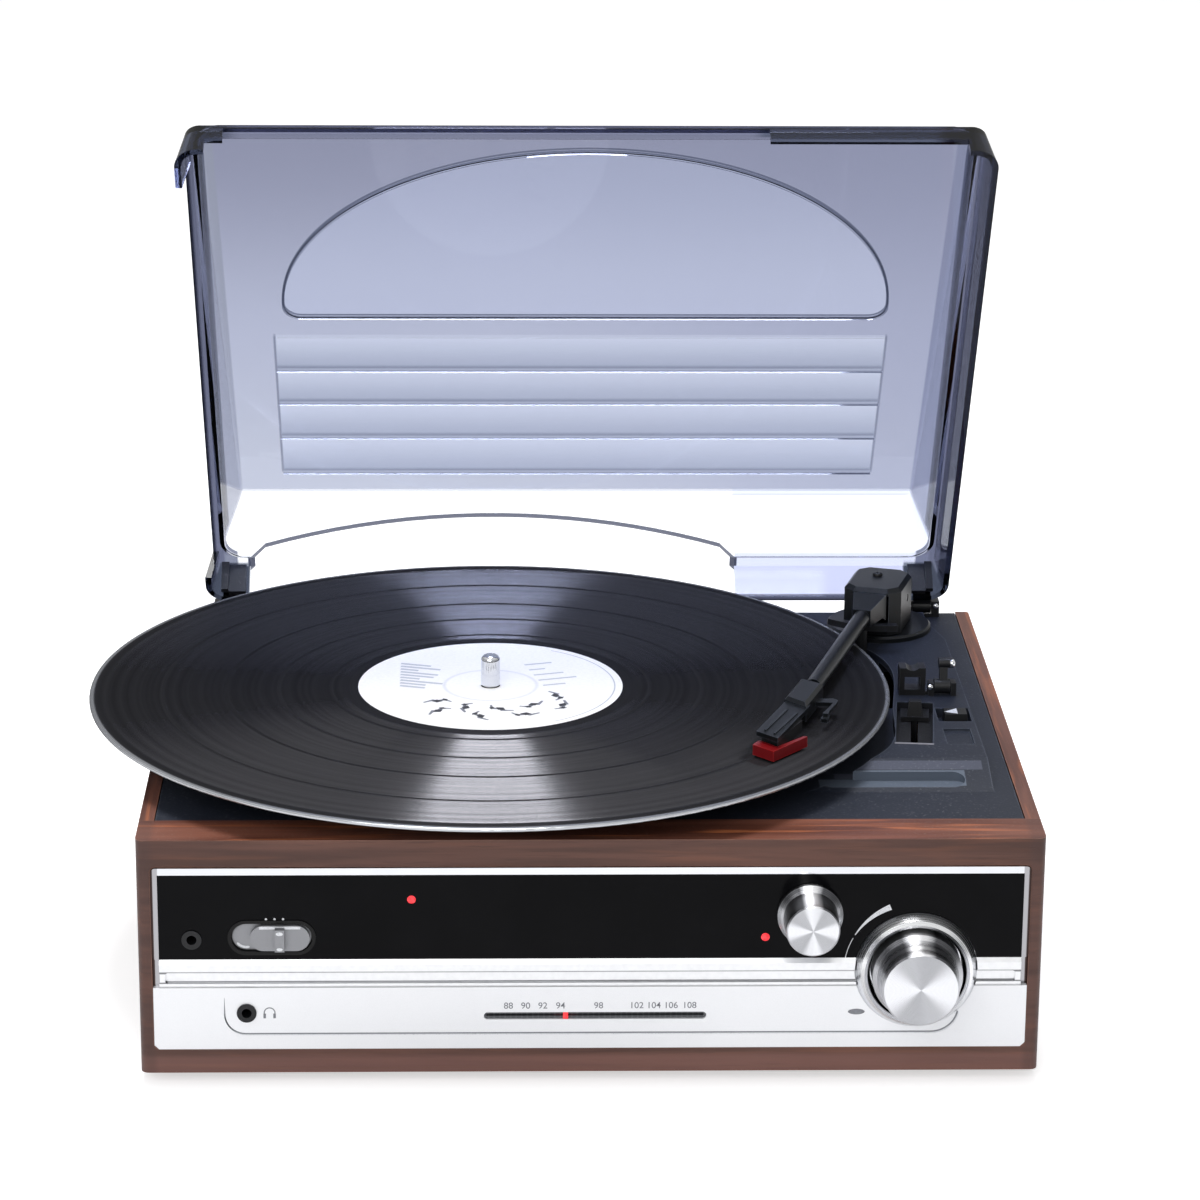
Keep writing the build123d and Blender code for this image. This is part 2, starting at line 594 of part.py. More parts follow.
BRACKET_EAR = 3.0
BRACKET_INNER = 4.0
BRACKET_TOP = HINGE_Z + 3.2
with BuildPart() as hinge_brackets:
    with BuildSketch(side(HINGE_X + BRACKET_INNER)):
        with Locations((HINGE_Y - 1.9, (DECK_TOP + BRACKET_TOP) / 2)):
            Rectangle(5.2, BRACKET_TOP - DECK_TOP)
        with Locations((HINGE_Y, HINGE_Z)):
            Circle(HINGE_PIN_RADIUS, mode=Mode.SUBTRACT)
    extrude(amount=BRACKET_EAR)
    with BuildSketch(side(HINGE_X - BRACKET_INNER)):
        with Locations((HINGE_Y - 1.9, (DECK_TOP + BRACKET_TOP) / 2)):
            Rectangle(5.2, BRACKET_TOP - DECK_TOP)
        with Locations((HINGE_Y, HINGE_Z)):
            Circle(HINGE_PIN_RADIUS, mode=Mode.SUBTRACT)
    extrude(amount=-BRACKET_EAR)
    with BuildSketch(level(DECK_TOP)):
        with Locations((HINGE_X, HINGE_Y - 4)):
            Rectangle(2 * BRACKET_INNER, 1)
    extrude(amount=1)
    mirror(about=Plane.YZ)
hinge_brackets.part.label = "hinge_brackets"
export_step(hinge_brackets.part, "parts/hinge_brackets.step")

with BuildPart() as hinge_pins:
    with BuildSketch(side(HINGE_X)):
        with Locations((HINGE_Y, HINGE_Z)):
            Circle(HINGE_PIN_RADIUS)
    extrude(amount=BRACKET_INNER + BRACKET_EAR, both=True)
    mirror(about=Plane.YZ)
hinge_pins.part.label = "hinge_pins"
export_step(hinge_pins.part, "parts/hinge_pins.step")

# ---------------------------------------------------------------- turntable drive
BEARING_FLOOR = 2.0
BEARING_TOP = PLATTER_LOW - 1.2
HUB_RADIUS = 9.0
NECK_TOP = RECORD_TOP + LABEL_THICKNESS + 0.2
HUB_LOW = BEARING_TOP + 0.3
WEB_LOW = PLATTER_TOP - 3.0
BELT_LOW = PLATTER_LOW + 1.0
MOTOR_TOP = DECK_UNDER - 1.5

with BuildPart() as spindle_bearing:
    with BuildSketch(level(BEARING_LOW)):
        with Locations((SPINDLE_X, SPINDLE_Y)):
            Circle(BEARING_SLEEVE)
    extrude(amount=BEARING_TOP - BEARING_LOW)
    with BuildSketch(level(WELL_FLOOR)):
        with Locations((SPINDLE_X, SPINDLE_Y)):
            Circle(BEARING_SLEEVE + 5)
    extrude(amount=BEARING_TOP - WELL_FLOOR)
    with BuildSketch(level(BEARING_LOW + BEARING_FLOOR)):
        with Locations((SPINDLE_X, SPINDLE_Y)):
            Circle(SHAFT_RADIUS + 0.05)
    extrude(amount=BEARING_TOP - BEARING_LOW, mode=Mode.SUBTRACT)
spindle_bearing.part.label = "spindle_bearing"
export_step(spindle_bearing.part, "parts/spindle_bearing.step")

with BuildPart() as platter_spindle:
    with BuildSketch(level(BEARING_LOW + BEARING_FLOOR + 0.3)):
        with Locations((SPINDLE_X, SPINDLE_Y)):
            Circle(SHAFT_RADIUS)
    extrude(amount=NECK_TOP - BEARING_LOW - BEARING_FLOOR - 0.3)
    with BuildSketch(level(NECK_TOP)):
        with Locations((SPINDLE_X, SPINDLE_Y)):
            Circle(SPINDLE_RADIUS)
    extrude(amount=RECORD_TOP + SPINDLE_RISE - NECK_TOP)
    fillet(platter_spindle.edges().group_by(Axis.Z)[-1], radius=SPINDLE_RADIUS * 0.6)
platter_spindle.part.label = "platter_spindle"
export_step(platter_spindle.part, "parts/platter_spindle.step")

with BuildPart() as platter:
    with BuildSketch(level(WEB_LOW)):
        with Locations((SPINDLE_X, SPINDLE_Y)):
            Circle(PLATTER_RADIUS)
    extrude(amount=PLATTER_TOP - WEB_LOW)
    with BuildSketch(level(PLATTER_LOW)):
        with Locations((SPINDLE_X, SPINDLE_Y)):
            Circle(PLATTER_RADIUS)
            Circle(PLATTER_RADIUS - PLATTER_WALL, mode=Mode.SUBTRACT)
    extrude(amount=WEB_LOW - PLATTER_LOW)
    with BuildSketch(level(PLATTER_LOW + 0.5)):
        with Locations((SPINDLE_X, SPINDLE_Y)):
            Circle(BELT_RING)
            Circle(BELT_RING - PLATTER_WALL, mode=Mode.SUBTRACT)
    extrude(amount=WEB_LOW - PLATTER_LOW - 0.5)
    with BuildSketch(level(HUB_LOW)):
        with Locations((SPINDLE_X, SPINDLE_Y)):
            Circle(HUB_RADIUS)
    extrude(amount=WEB_LOW - HUB_LOW)
    with BuildSketch(level(HUB_LOW)):
        with Locations((SPINDLE_X, SPINDLE_Y)):
            Circle(SHAFT_RADIUS)
    extrude(amount=PLATTER_TOP - HUB_LOW, mode=Mode.SUBTRACT)
    chamfer(platter.edges().group_by(Axis.Z)[-1].filter_by(lambda e: e.radius > 50), 0.6)
platter.part.label = "platter"
export_step(platter.part, "parts/platter.step")

with BuildPart() as platter_mat:
    with BuildSketch(level(PLATTER_TOP)):
        with Locations((SPINDLE_X, SPINDLE_Y)):
            Circle(PLATTER_RADIUS - 2)
            Circle(SPINDLE_RADIUS, mode=Mode.SUBTRACT)
    extrude(amount=MAT_THICKNESS)
platter_mat.part.label = "platter_mat"
export_step(platter_mat.part, "parts/platter_mat.step")

with BuildPart() as record:
    with BuildSketch(level(MAT_TOP)):
        with Locations((SPINDLE_X, SPINDLE_Y)):
            Circle(RECORD_RADIUS)
            Circle(RECORD_HOLE, mode=Mode.SUBTRACT)
    extrude(amount=RECORD_THICKNESS)
    rims = record.edges().filter_by(GeomType.CIRCLE).filter_by(lambda e: e.radius > LABEL_RADIUS)
    fillet(rims, radius=RECORD_THICKNESS * 0.4)
    with BuildSketch(level(RECORD_TOP - LABEL_THICKNESS)):
        with Locations((SPINDLE_X, SPINDLE_Y)):
            Circle(LABEL_RADIUS)
    extrude(amount=LABEL_THICKNESS, mode=Mode.SUBTRACT)
record.part.label = "record"
export_step(record.part, "parts/record.step")

with BuildPart() as record_label:
    with BuildSketch(level(RECORD_TOP - LABEL_THICKNESS)):
        with Locations((SPINDLE_X, SPINDLE_Y)):
            Circle(LABEL_RADIUS)
            Circle(RECORD_HOLE, mode=Mode.SUBTRACT)
    extrude(amount=LABEL_THICKNESS)
record_label.part.label = "record_label"
export_step(record_label.part, "parts/record_label.step")

with BuildPart() as motor:
    with BuildSketch(level(MOTOR_TOP)):
        with Locations((MOTOR_X, MOTOR_Y)):
            Circle(MOTOR_RADIUS + 5)
    extrude(amount=DECK_UNDER - MOTOR_TOP)
    with BuildSketch(level(MOTOR_TOP)):
        with Locations((MOTOR_X, MOTOR_Y)):
            Circle(MOTOR_RADIUS)
    extrude(amount=-MOTOR_LENGTH)
    fillet(motor.edges().group_by(Axis.Z)[0], radius=2)
    with BuildSketch(level(DECK_UNDER)):
        with Locations((MOTOR_X, MOTOR_Y)):
            Circle(1.0 + 0.05)
    extrude(amount=-8, mode=Mode.SUBTRACT)
motor.part.label = "motor"
export_step(motor.part, "parts/motor.step")

with BuildPart() as motor_pulley:
    with BuildSketch(level(DECK_UNDER - 7)):
        with Locations((MOTOR_X, MOTOR_Y)):
            Circle(1.0)
    extrude(amount=PLATTER_LOW - DECK_UNDER + 7)
    with BuildSketch(level(PLATTER_LOW)):
        with Locations((MOTOR_X, MOTOR_Y)):
            Circle(PULLEY_RADIUS)
    extrude(amount=WEB_LOW - PLATTER_LOW - 0.5)
    with BuildSketch(level(PLATTER_LOW)):
        with Locations((MOTOR_X, MOTOR_Y)):
            Circle(PULLEY_RADIUS + 1)
    extrude(amount=0.6)
motor_pulley.part.label = "motor_pulley"
export_step(motor_pulley.part, "parts/motor_pulley.step")


def belt_face(big, small):
    """Sketch of a loop round the belt ring and the pulley, with the given radii."""
    lean = degrees(acos((big - small) / MOTOR_OFFSET))
    with BuildSketch() as loop:
        Circle(big)
        with Locations((MOTOR_OFFSET, 0)):
            Circle(small)
        with BuildLine():
            Polyline(
                (big * cos(radians(lean)), big * sin(radians(lean))),
                (MOTOR_OFFSET + small * cos(radians(lean)), small * sin(radians(lean))),
                (MOTOR_OFFSET + small * cos(radians(lean)), -small * sin(radians(lean))),
                (big * cos(radians(lean)), -big * sin(radians(lean))),
                close=True,
            )
        make_face()
    return loop.sketch


with BuildPart() as drive_belt:
    with BuildSketch(level(BELT_LOW)):
        with Locations(Location((SPINDLE_X, SPINDLE_Y), MOTOR_ANGLE)):
            add(belt_face(BELT_RING + 0.3 + BELT_THICKNESS, PULLEY_RADIUS + 0.3 + BELT_THICKNESS))
            add(belt_face(BELT_RING + 0.3, PULLEY_RADIUS + 0.3), mode=Mode.SUBTRACT)
    extrude(amount=BELT_WIDTH)
drive_belt.part.label = "drive_belt"
export_step(drive_belt.part, "parts/drive_belt.step")

# ---------------------------------------------------------------- tonearm
HOUSING_REAR = 12.0
HOUSING_FRONT = 17.5
HOUSING_HALF = 11.5
HOUSING_TOP = ARM_Z + 7.0
HOUSING_LOW = BASE_TOP + 0.3
HOUSING_CUT = 4.5
BLOCK_HALF = 6.6
BLOCK_REAR = 10.0
BLOCK_FRONT = 18.8
NOSE_FRONT = 34.0
ARM_SLOT_HALF = BLOCK_HALF + 0.7
CAM_Z = DECK_UNDER - 14.5
COLLAR_REAR = ARM_LENGTH - 67.0
COLLAR_FRONT = ARM_LENGTH - 41.0
COLLAR_HALF = 4.8
SHELL_TOP = ARM_Z + 1.8
SHELL_THICKNESS = 1.8
CARTRIDGE_LOW = RECORD_TOP + STYLUS_GAP + 1.7
STYLUS_LOW = RECORD_TOP + STYLUS_GAP

with BuildPart() as arm_housing:
    with BuildSketch(arm_level(HOUSING_LOW)):
        with Locations(((HOUSING_FRONT - HOUSING_REAR) / 2, 0)):
            Rectangle(HOUSING_FRONT + HOUSING_REAR, 2 * HOUSING_HALF)
        chamfer(vertices(), HOUSING_CUT)
    extrude(amount=HOUSING_TOP - HOUSING_LOW)
    chamfer(arm_housing.faces().sort_by(Axis.Z)[-1].edges(), 1.6)
    with BuildSketch(arm_level(HOUSING_LOW + 4.7)):
        with Locations(((HOUSING_FRONT + 1 - BLOCK_REAR - 0.6) / 2, 0)):
            Rectangle(HOUSING_FRONT + 1 + BLOCK_REAR + 0.6, 2 * ARM_SLOT_HALF)
    extrude(amount=ARM_Z + 4.5 - HOUSING_LOW - 4.7, mode=Mode.SUBTRACT)
    with BuildSketch(arm_side(0)):
        with Locations((0, TILT_Z)):
            Circle(TILT_PIN_RADIUS)
    extrude(amount=HOUSING_HALF, both=True, mode=Mode.SUBTRACT)
    with BuildSketch(arm_level(HOUSING_LOW)):
        Circle(SHAFT_RADIUS)
    extrude(amount=4.7, mode=Mode.SUBTRACT)
arm_housing.part.label = "arm_housing"
export_step(arm_housing.part, "parts/arm_housing.step")

with BuildPart() as arm_shaft:
    with BuildSketch(arm_level(CAM_Z - 1)):
        Circle(SHAFT_RADIUS)
    extrude(amount=HOUSING_LOW + 4.5 - CAM_Z + 1)
arm_shaft.part.label = "arm_shaft"
export_step(arm_shaft.part, "parts/arm_shaft.step")

with BuildPart() as arm_tilt_pin:
    with BuildSketch(arm_side(0)):
        with Locations((0, TILT_Z)):
            Circle(TILT_PIN_RADIUS)
    extrude(amount=HOUSING_HALF - 0.3, both=True)
arm_tilt_pin.part.label = "arm_tilt_pin"
export_step(arm_tilt_pin.part, "parts/arm_tilt_pin.step")

with BuildPart() as auto_stop_cam:
    with BuildSketch(arm_level(CAM_Z)):
        Circle(9)
        with Locations((6, 0)):
            SlotOverall(18, 7)
        Circle(SHAFT_RADIUS, mode=Mode.SUBTRACT)
    extrude(amount=3)
auto_stop_cam.part.label = "auto_stop_cam"
export_step(auto_stop_cam.part, "parts/auto_stop_cam.step")

with BuildPart() as arm_tube:
    with BuildSketch(arm_side(0)):
        with BuildLine():
            Polyline(
                (BLOCK_FRONT, ARM_Z - 5),
                (BLOCK_FRONT, ARM_Z + 5.6),
                (NOSE_FRONT, ARM_Z + 3.4),
                (NOSE_FRONT, TUBE_LOW),
                (BLOCK_FRONT + 3, TUBE_LOW),
                close=True,
            )
        make_face()
    extrude(amount=BLOCK_HALF, both=True)
    with BuildSketch(arm_level(ARM_Z - 10)):
        with BuildLine():
            Polyline(
                (BLOCK_FRONT, -BLOCK_HALF),
                (NOSE_FRONT, -ARM_TUBE_RADIUS - 0.4),
                (NOSE_FRONT, ARM_TUBE_RADIUS + 0.4),
                (BLOCK_FRONT, BLOCK_HALF),
                close=True,
            )
        make_face()
    extrude(amount=20, mode=Mode.INTERSECT)
    with BuildSketch(arm_level(ARM_Z - 5)):
        with Locations(((BLOCK_FRONT - BLOCK_REAR) / 2, 0)):
            Rectangle(BLOCK_FRONT + BLOCK_REAR, 2 * BLOCK_HALF)
    extrude(amount=7.2)
    with BuildSketch(arm_side(0)):
        with Locations((0, TILT_Z)):
            Circle(TILT_PIN_RADIUS + 0.05)
    extrude(amount=BLOCK_HALF, both=True, mode=Mode.SUBTRACT)
    with BuildSketch(arm_cross(NOSE_FRONT - 2)):
        with Locations((0, ARM_Z)):
            Circle(ARM_TUBE_RADIUS)
    extrude(amount=COLLAR_REAR + 2 - NOSE_FRONT)
arm_tube.part.label = "arm_tube"
export_step(arm_tube.part, "parts/arm_tube.step")


def shell_point(back, right):
    """A point of the headshell, measured back from the arm's tip and to the right of its line."""
    return (ARM_LENGTH - back, right)


with BuildPart() as headshell:
    with BuildSketch(arm_level(ARM_Z - 3.5)):
        with BuildLine():
            Polyline(
                (COLLAR_REAR, -COLLAR_HALF),
                (COLLAR_FRONT - 3, -COLLAR_HALF - 0.8),
                (COLLAR_FRONT + 3, COLLAR_HALF - 0.8),
                (COLLAR_REAR + 4, COLLAR_HALF),
                close=True,
            )
        make_face()
    extrude(amount=7.0)
    chamfer(headshell.edges().group_by(Axis.Z)[-1], 1.2)
    with BuildSketch(arm_level(SHELL_TOP - SHELL_THICKNESS)):
        with BuildLine():
            Polyline(
                (COLLAR_FRONT - 4, -5.0),
                shell_point(9.0, -7.8),
                shell_point(3.6, 1.4),
                (COLLAR_FRONT - 1, 4.6),
                close=True,
            )
        make_face()
    extrude(amount=SHELL_THICKNESS)
    with BuildSketch(arm_level(SHELL_TOP)):
        with BuildLine():
            Polyline(
                shell_point(34, -2.8),
                shell_point(10, -5.2),
                shell_point(9.6, -4.4),
                shell_point(34, -2.0),
                close=True,
            )
        make_face()
        with BuildLine():
            Polyline(
                shell_point(31, 1.6),
                shell_point(7.6, -1.2),
                shell_point(7.2, -0.4),
                shell_point(31, 2.4),
                close=True,
            )
        make_face()
    extrude(amount=0.5)
    with BuildSketch(arm_cross(COLLAR_REAR - 1)):
        with Locations((0, ARM_Z)):
            Circle(ARM_TUBE_RADIUS)
    extrude(amount=4, mode=Mode.SUBTRACT)
    with BuildSketch(arm_level(ARM_Z - 2)):
        with BuildLine():
            Polyline(
                shell_point(55.5, COLLAR_HALF - 1.2),
                shell_point(57.8, 9.8),
                shell_point(56.4, 11.9),
                shell_point(53.4, 12.1),
                shell_point(41.5, 11.2),
                shell_point(41.5, 9.8),
                shell_point(53.2, 10.9),
                shell_point(51.8, COLLAR_HALF - 1.2),
                close=True,
            )
        make_face()
    extrude(amount=1.6)
    with BuildSketch(arm_level(ARM_Z - 2)):
        with Locations(shell_point(40.8, 10.6)):
            Rectangle(3.2, 2.6)
    extrude(amount=-1.6)
    with BuildSketch(arm_level(ARM_Z - 2)):
        with Locations(shell_point(41.6, 10.7)):
            Rectangle(2.0, 2.0)
    extrude(amount=1.6)
headshell.part.label = "headshell"
export_step(headshell.part, "parts/headshell.step")

with BuildPart() as cartridge:
    with BuildSketch(arm_level(CARTRIDGE_LOW)):
        with BuildLine():
            Polyline(
                shell_point(34, -3.4),
                shell_point(11, -6.2),
                shell_point(6.4, 0.8),
                shell_point(30, 4.4),
                close=True,
            )
        make_face()
    extrude(amount=SHELL_TOP - SHELL_THICKNESS - CARTRIDGE_LOW)
cartridge.part.label = "cartridge"
export_step(cartridge.part, "parts/cartridge.step")

with BuildPart() as stylus:
    with BuildSketch(arm_level(CARTRIDGE_LOW - 1.3)):
        with BuildLine():
            Polyline(
                shell_point(17, -2.0),
                shell_point(4.6, -8.0),
                shell_point(-0.6, 0.9),
                shell_point(18.4, 9.0),
                close=True,
            )
        make_face()
    extrude(amount=1.3)
    with BuildSketch(arm_level(CARTRIDGE_LOW)):
        with BuildLine():
            Polyline(
                shell_point(9.8, -6.8),
                shell_point(4.6, -8.0),
                shell_point(-0.6, 0.9),
                shell_point(18.4, 9.0),
                shell_point(18.4, 7.6),
                shell_point(4.8, 1.0),
                close=True,
            )
        make_face()
    extrude(amount=2.6)
    with BuildSketch(arm_level(STYLUS_LOW)):
        with Locations(shell_point(6.4, -3.2)):
            Circle(0.45)
    extrude(amount=CARTRIDGE_LOW - 1.3 - STYLUS_LOW)
stylus.part.label = "stylus"
export_step(stylus.part, "parts/stylus.step")

# ---------------------------------------------------------------- lid
LID_CORNER = 9.0
DOME_CORNER = 8.0
PLATE_REAR = DOME_REAR + 8.7
PLATE_FRONT = DOME_FRONT - 7.7
SHELF = FLANGE_HEIGHT - LID_WALL
FLARE_SLOPE = FLANGE_FLARE / FLANGE_HEIGHT
FLARE = degrees(atan2(FLANGE_FLARE, FLANGE_HEIGHT))
PLATE_SLOPE = (PLATE_REAR_RISE - PLATE_FRONT_RISE) / (PLATE_FRONT - PLATE_REAR)
LID_LENGTH = LID_FRONT - LID_REAR
LID_MIDDLE = (LID_FRONT + LID_REAR) / 2
DOME_LENGTH = DOME_FRONT - DOME_REAR
DOME_MIDDLE = (DOME_FRONT + DOME_REAR) / 2
FRONT_SKIRT_RISE = 7.6
SKIRT_GAP_LEFT = 17.5 - LID_HALF_WIDTH
SKIRT_GAP_RIGHT = SPINDLE_X + 102.5
ARCH_LEFT = 17.5 - LID_HALF_WIDTH
ARCH_RIGHT = SPINDLE_X + 99.5
ARCH_TOP = 35.0
ARCH_SHOULDER = 21.0
MOON_CENTRE = 1.5
MOON_BASE = PLATE_FRONT - 100.0
MOON_HALF = DOME_HALF_WIDTH - 25.5
MOON_RISE = 88.4
MOON_CORNER = 7.6
LINE_WIDTH = 0.9
LINE_HEIGHT = 0.5
BAND_HALF = DOME_HALF_WIDTH - 23.5
BAND_STEPS = [38.0, 60.9, 82.6, 103.3, 123.4]
BAND_RISE = 1.2
KNUCKLE_RADIUS = 3.0
BLOCK_V = LID_REAR + SKIRT_WALL + 0.04
BLOCK_LOW = 1.3
BLOCK_HIGH = 13.9
BLOCK_THICK = 1.8
BLOCK_WIDTH = 6.9
BLOCK_CHEEK = 3.0


def moon_face(inset):
    """Sketch of the half-moon line on the lid, drawn in by the given amount."""
    with BuildSketch() as moon:
        Ellipse(MOON_HALF - inset, MOON_RISE - inset)
        with Locations((0, -MOON_RISE)):
            Rectangle(3 * MOON_HALF, 2 * MOON_RISE, mode=Mode.SUBTRACT)
        SlotOverall(2 * (MOON_HALF - inset), 2 * (MOON_CORNER - inset))
    return moon.sketch


with BuildPart() as lid_hollow:
    with BuildSketch(lid_level(-1)):
        with Locations((0, -LID_MIDDLE)):
            RectangleRounded(
                2 * (LID_HALF_WIDTH - SKIRT_WALL) + 0.36,
                LID_LENGTH - 2 * SKIRT_WALL + 0.36,
                LID_CORNER - SKIRT_WALL,
            )
    extrude(amount=SHELF + 1, taper=FLARE)
    with BuildSketch(lid_level(SHELF)):
        with Locations((0, -DOME_MIDDLE)):
            RectangleRounded(2 * DOME_HALF_WIDTH, DOME_LENGTH, DOME_CORNER)
    extrude(amount=PLATE_REAR_RISE, taper=DOME_DRAFT)
    with BuildSketch(lid_side(LID_HALF_WIDTH + 10)):
        with BuildLine():
            Polyline(
                (-20, PLATE_REAR_RISE + (PLATE_REAR + 20) * PLATE_SLOPE),
                (LID_FRONT + 20, PLATE_FRONT_RISE - (LID_FRONT + 20 - PLATE_FRONT) * PLATE_SLOPE),
                (LID_FRONT + 20, 2 * PLATE_REAR_RISE),
                (-20, 2 * PLATE_REAR_RISE),
                close=True,
            )
        make_face()
    extrude(amount=2 * LID_HALF_WIDTH + 20, mode=Mode.SUBTRACT)

with BuildPart() as lid:
    with BuildSketch(lid_level(0)):
        with Locations((0, -LID_MIDDLE)):
            RectangleRounded(2 * LID_HALF_WIDTH, LID_LENGTH, LID_CORNER)
    extrude(amount=FLANGE_HEIGHT, taper=FLARE)
    with BuildSketch(lid_level(FLANGE_HEIGHT)):
        with Locations((0, -DOME_MIDDLE)):
            RectangleRounded(
                2 * (DOME_HALF_WIDTH + LID_WALL),
                DOME_LENGTH + 2 * LID_WALL,
                DOME_CORNER + LID_WALL,
            )
    extrude(amount=PLATE_REAR_RISE, taper=DOME_DRAFT)
    with BuildSketch(lid_side(LID_HALF_WIDTH + 10)):
        with BuildLine():
            Polyline(
                (-20, PLATE_REAR_RISE + LID_WALL + (PLATE_REAR + 20) * PLATE_SLOPE),
                (
                    LID_FRONT + 20,
                    PLATE_FRONT_RISE + LID_WALL - (LID_FRONT + 20 - PLATE_FRONT) * PLATE_SLOPE,
                ),
                (LID_FRONT + 20, 2 * PLATE_REAR_RISE),
                (-20, 2 * PLATE_REAR_RISE),
                close=True,
            )
        make_face()
    extrude(amount=2 * LID_HALF_WIDTH + 20, mode=Mode.SUBTRACT)
    plate_normal = Vector(0, OPEN_SIN, OPEN_COS) + Vector(0, -OPEN_COS, OPEN_SIN) * PLATE_SLOPE
    top_face = lid.faces().sort_by(lambda f: f.center().dot(plate_normal.normalized()))[-1]
    fillet(top_face.edges(), radius=3.5)
    add(lid_hollow.part, mode=Mode.SUBTRACT)
    with BuildSketch(lid_level(-1)):
        with Locations(((SKIRT_GAP_LEFT + SKIRT_GAP_RIGHT) / 2, -LID_FRONT)):
            Rectangle(SKIRT_GAP_RIGHT - SKIRT_GAP_LEFT, 2 * (LID_FRONT - DOME_FRONT) + 10)
        with Locations((-LID_HALF_WIDTH, -LID_MIDDLE + 2.5)):
            Rectangle(16, LID_LENGTH - 33)
    extrude(amount=SHELF + 1, mode=Mode.SUBTRACT)
    with BuildSketch(lid_level(-1)):
        with Locations((0, -LID_FRONT)):
            Rectangle(2 * (LID_HALF_WIDTH - LID_CORNER - 2), 2 * (LID_FRONT - DOME_FRONT) + 10)
    extrude(amount=FRONT_SKIRT_RISE + 1, mode=Mode.SUBTRACT)
    with BuildSketch(lid_front(-5)):
        with BuildLine():
            Polyline(
                (ARCH_LEFT + 6, ARCH_SHOULDER),
                (ARCH_LEFT, SHELF),
                (ARCH_LEFT, -1),
                (ARCH_RIGHT, -1),
                (ARCH_RIGHT, SHELF),
                (ARCH_RIGHT - 6, ARCH_SHOULDER),
            )
            ThreePointArc(
                (ARCH_RIGHT - 6, ARCH_SHOULDER),
                ((ARCH_LEFT + ARCH_RIGHT) / 2, ARCH_TOP),
                (ARCH_LEFT + 6, ARCH_SHOULDER),
            )
        make_face()
    extrude(amount=PLATE_REAR + 3, mode=Mode.SUBTRACT)
    plate_side = Plane(
        origin=lid_point(-BAND_HALF, PLATE_REAR, PLATE_REAR_RISE),
        x_dir=(Vector(0, -OPEN_COS, OPEN_SIN) - Vector(0, OPEN_SIN, OPEN_COS) * PLATE_SLOPE),
        z_dir=(1, 0, 0),
    )
    with BuildSketch(plate_side):
        with BuildLine():
            band = [(BAND_STEPS[0] - PLATE_REAR, -1.0)]
            for near, far in zip(BAND_STEPS[:-1], BAND_STEPS[1:]):
                band += [(near - PLATE_REAR, BAND_RISE), (far - PLATE_REAR, 0.1)]
            band += [(BAND_STEPS[-1] - PLATE_REAR, -1.0)]
            Polyline(*band, close=True)
        make_face()
    extrude(amount=2 * BAND_HALF)
    plate_under = Plane(
        origin=lid_point(0, PLATE_REAR, PLATE_REAR_RISE),
        x_dir=(1, 0, 0),
        z_dir=-plate_normal,
    )
    with BuildSketch(plate_under):
        with Locations((MOON_CENTRE, MOON_BASE + MOON_CORNER - PLATE_REAR)):
            add(moon_face(0))
            add(moon_face(LINE_WIDTH), mode=Mode.SUBTRACT)
    extrude(amount=LINE_HEIGHT)
lid.part.label = "lid"
export_step(lid.part, "parts/lid.step")

with BuildPart() as lid_hinge_leaves:
    with BuildSketch(side(HINGE_X)):
        with Locations((HINGE_Y, HINGE_Z)):
            Circle(KNUCKLE_RADIUS)
            Circle(HINGE_PIN_RADIUS + 0.05, mode=Mode.SUBTRACT)
    extrude(amount=BRACKET_INNER - 0.3, both=True)
    with BuildSketch(lid_side(HINGE_X)):
        with BuildLine():
            Polyline(
                (2.0, 3.4),
                (4.3, 4.8),
                (LID_REAR - 0.06 + 13.0 * FLARE_SLOPE - 2.2, 13.0),
                (LID_REAR - 0.06 + 13.0 * FLARE_SLOPE, 13.0),
                (LID_REAR - 0.06 + 1.4 * FLARE_SLOPE, 1.4),
                (2.6, 1.0),
                close=True,
            )
        make_face()
    extrude(amount=BRACKET_INNER - 0.4, both=True)
    with BuildSketch(lid_side(LID_HALF_WIDTH - LID_CORNER)):
        with BuildLine():
            Polyline(
                (BLOCK_V + BLOCK_LOW * FLARE_SLOPE, BLOCK_LOW),
                (BLOCK_V + BLOCK_LOW * FLARE_SLOPE + BLOCK_THICK, BLOCK_LOW),
                (BLOCK_V + BLOCK_HIGH * FLARE_SLOPE + BLOCK_THICK, BLOCK_HIGH),
                (BLOCK_V + BLOCK_HIGH * FLARE_SLOPE, BLOCK_HIGH),
                close=True,
            )
        make_face()
    extrude(amount=BLOCK_WIDTH)
    with BuildSketch(lid_side(LID_HALF_WIDTH - LID_CORNER + BLOCK_CHEEK)):
        with BuildLine():
            Polyline(
                (BLOCK_V + 1.4, BLOCK_LOW),
                (BLOCK_V + 3.4, BLOCK_LOW),
                (BLOCK_V + 6.0, BLOCK_HIGH),
                (BLOCK_V + 4.0, BLOCK_HIGH),
                close=True,
            )
        make_face()
    extrude(amount=BLOCK_CHEEK)
    mirror(about=Plane.YZ)
lid_hinge_leaves.part.label = "lid_hinge_leaves"
export_step(lid_hinge_leaves.part, "parts/lid_hinge_leaves.step")

# ---------------------------------------------------------------- controls beside the tonearm
SLIDER_TOP = ISLAND_TOP + 3.5
WELL_HEADING = radians(WELL_TURN)
TAB_SHIFT = WELL_LENGTH / 2 - 6.0
TAB_X = WELL_X - TAB_SHIFT * sin(WELL_HEADING)
TAB_Y = WELL_Y + TAB_SHIFT * cos(WELL_HEADING)

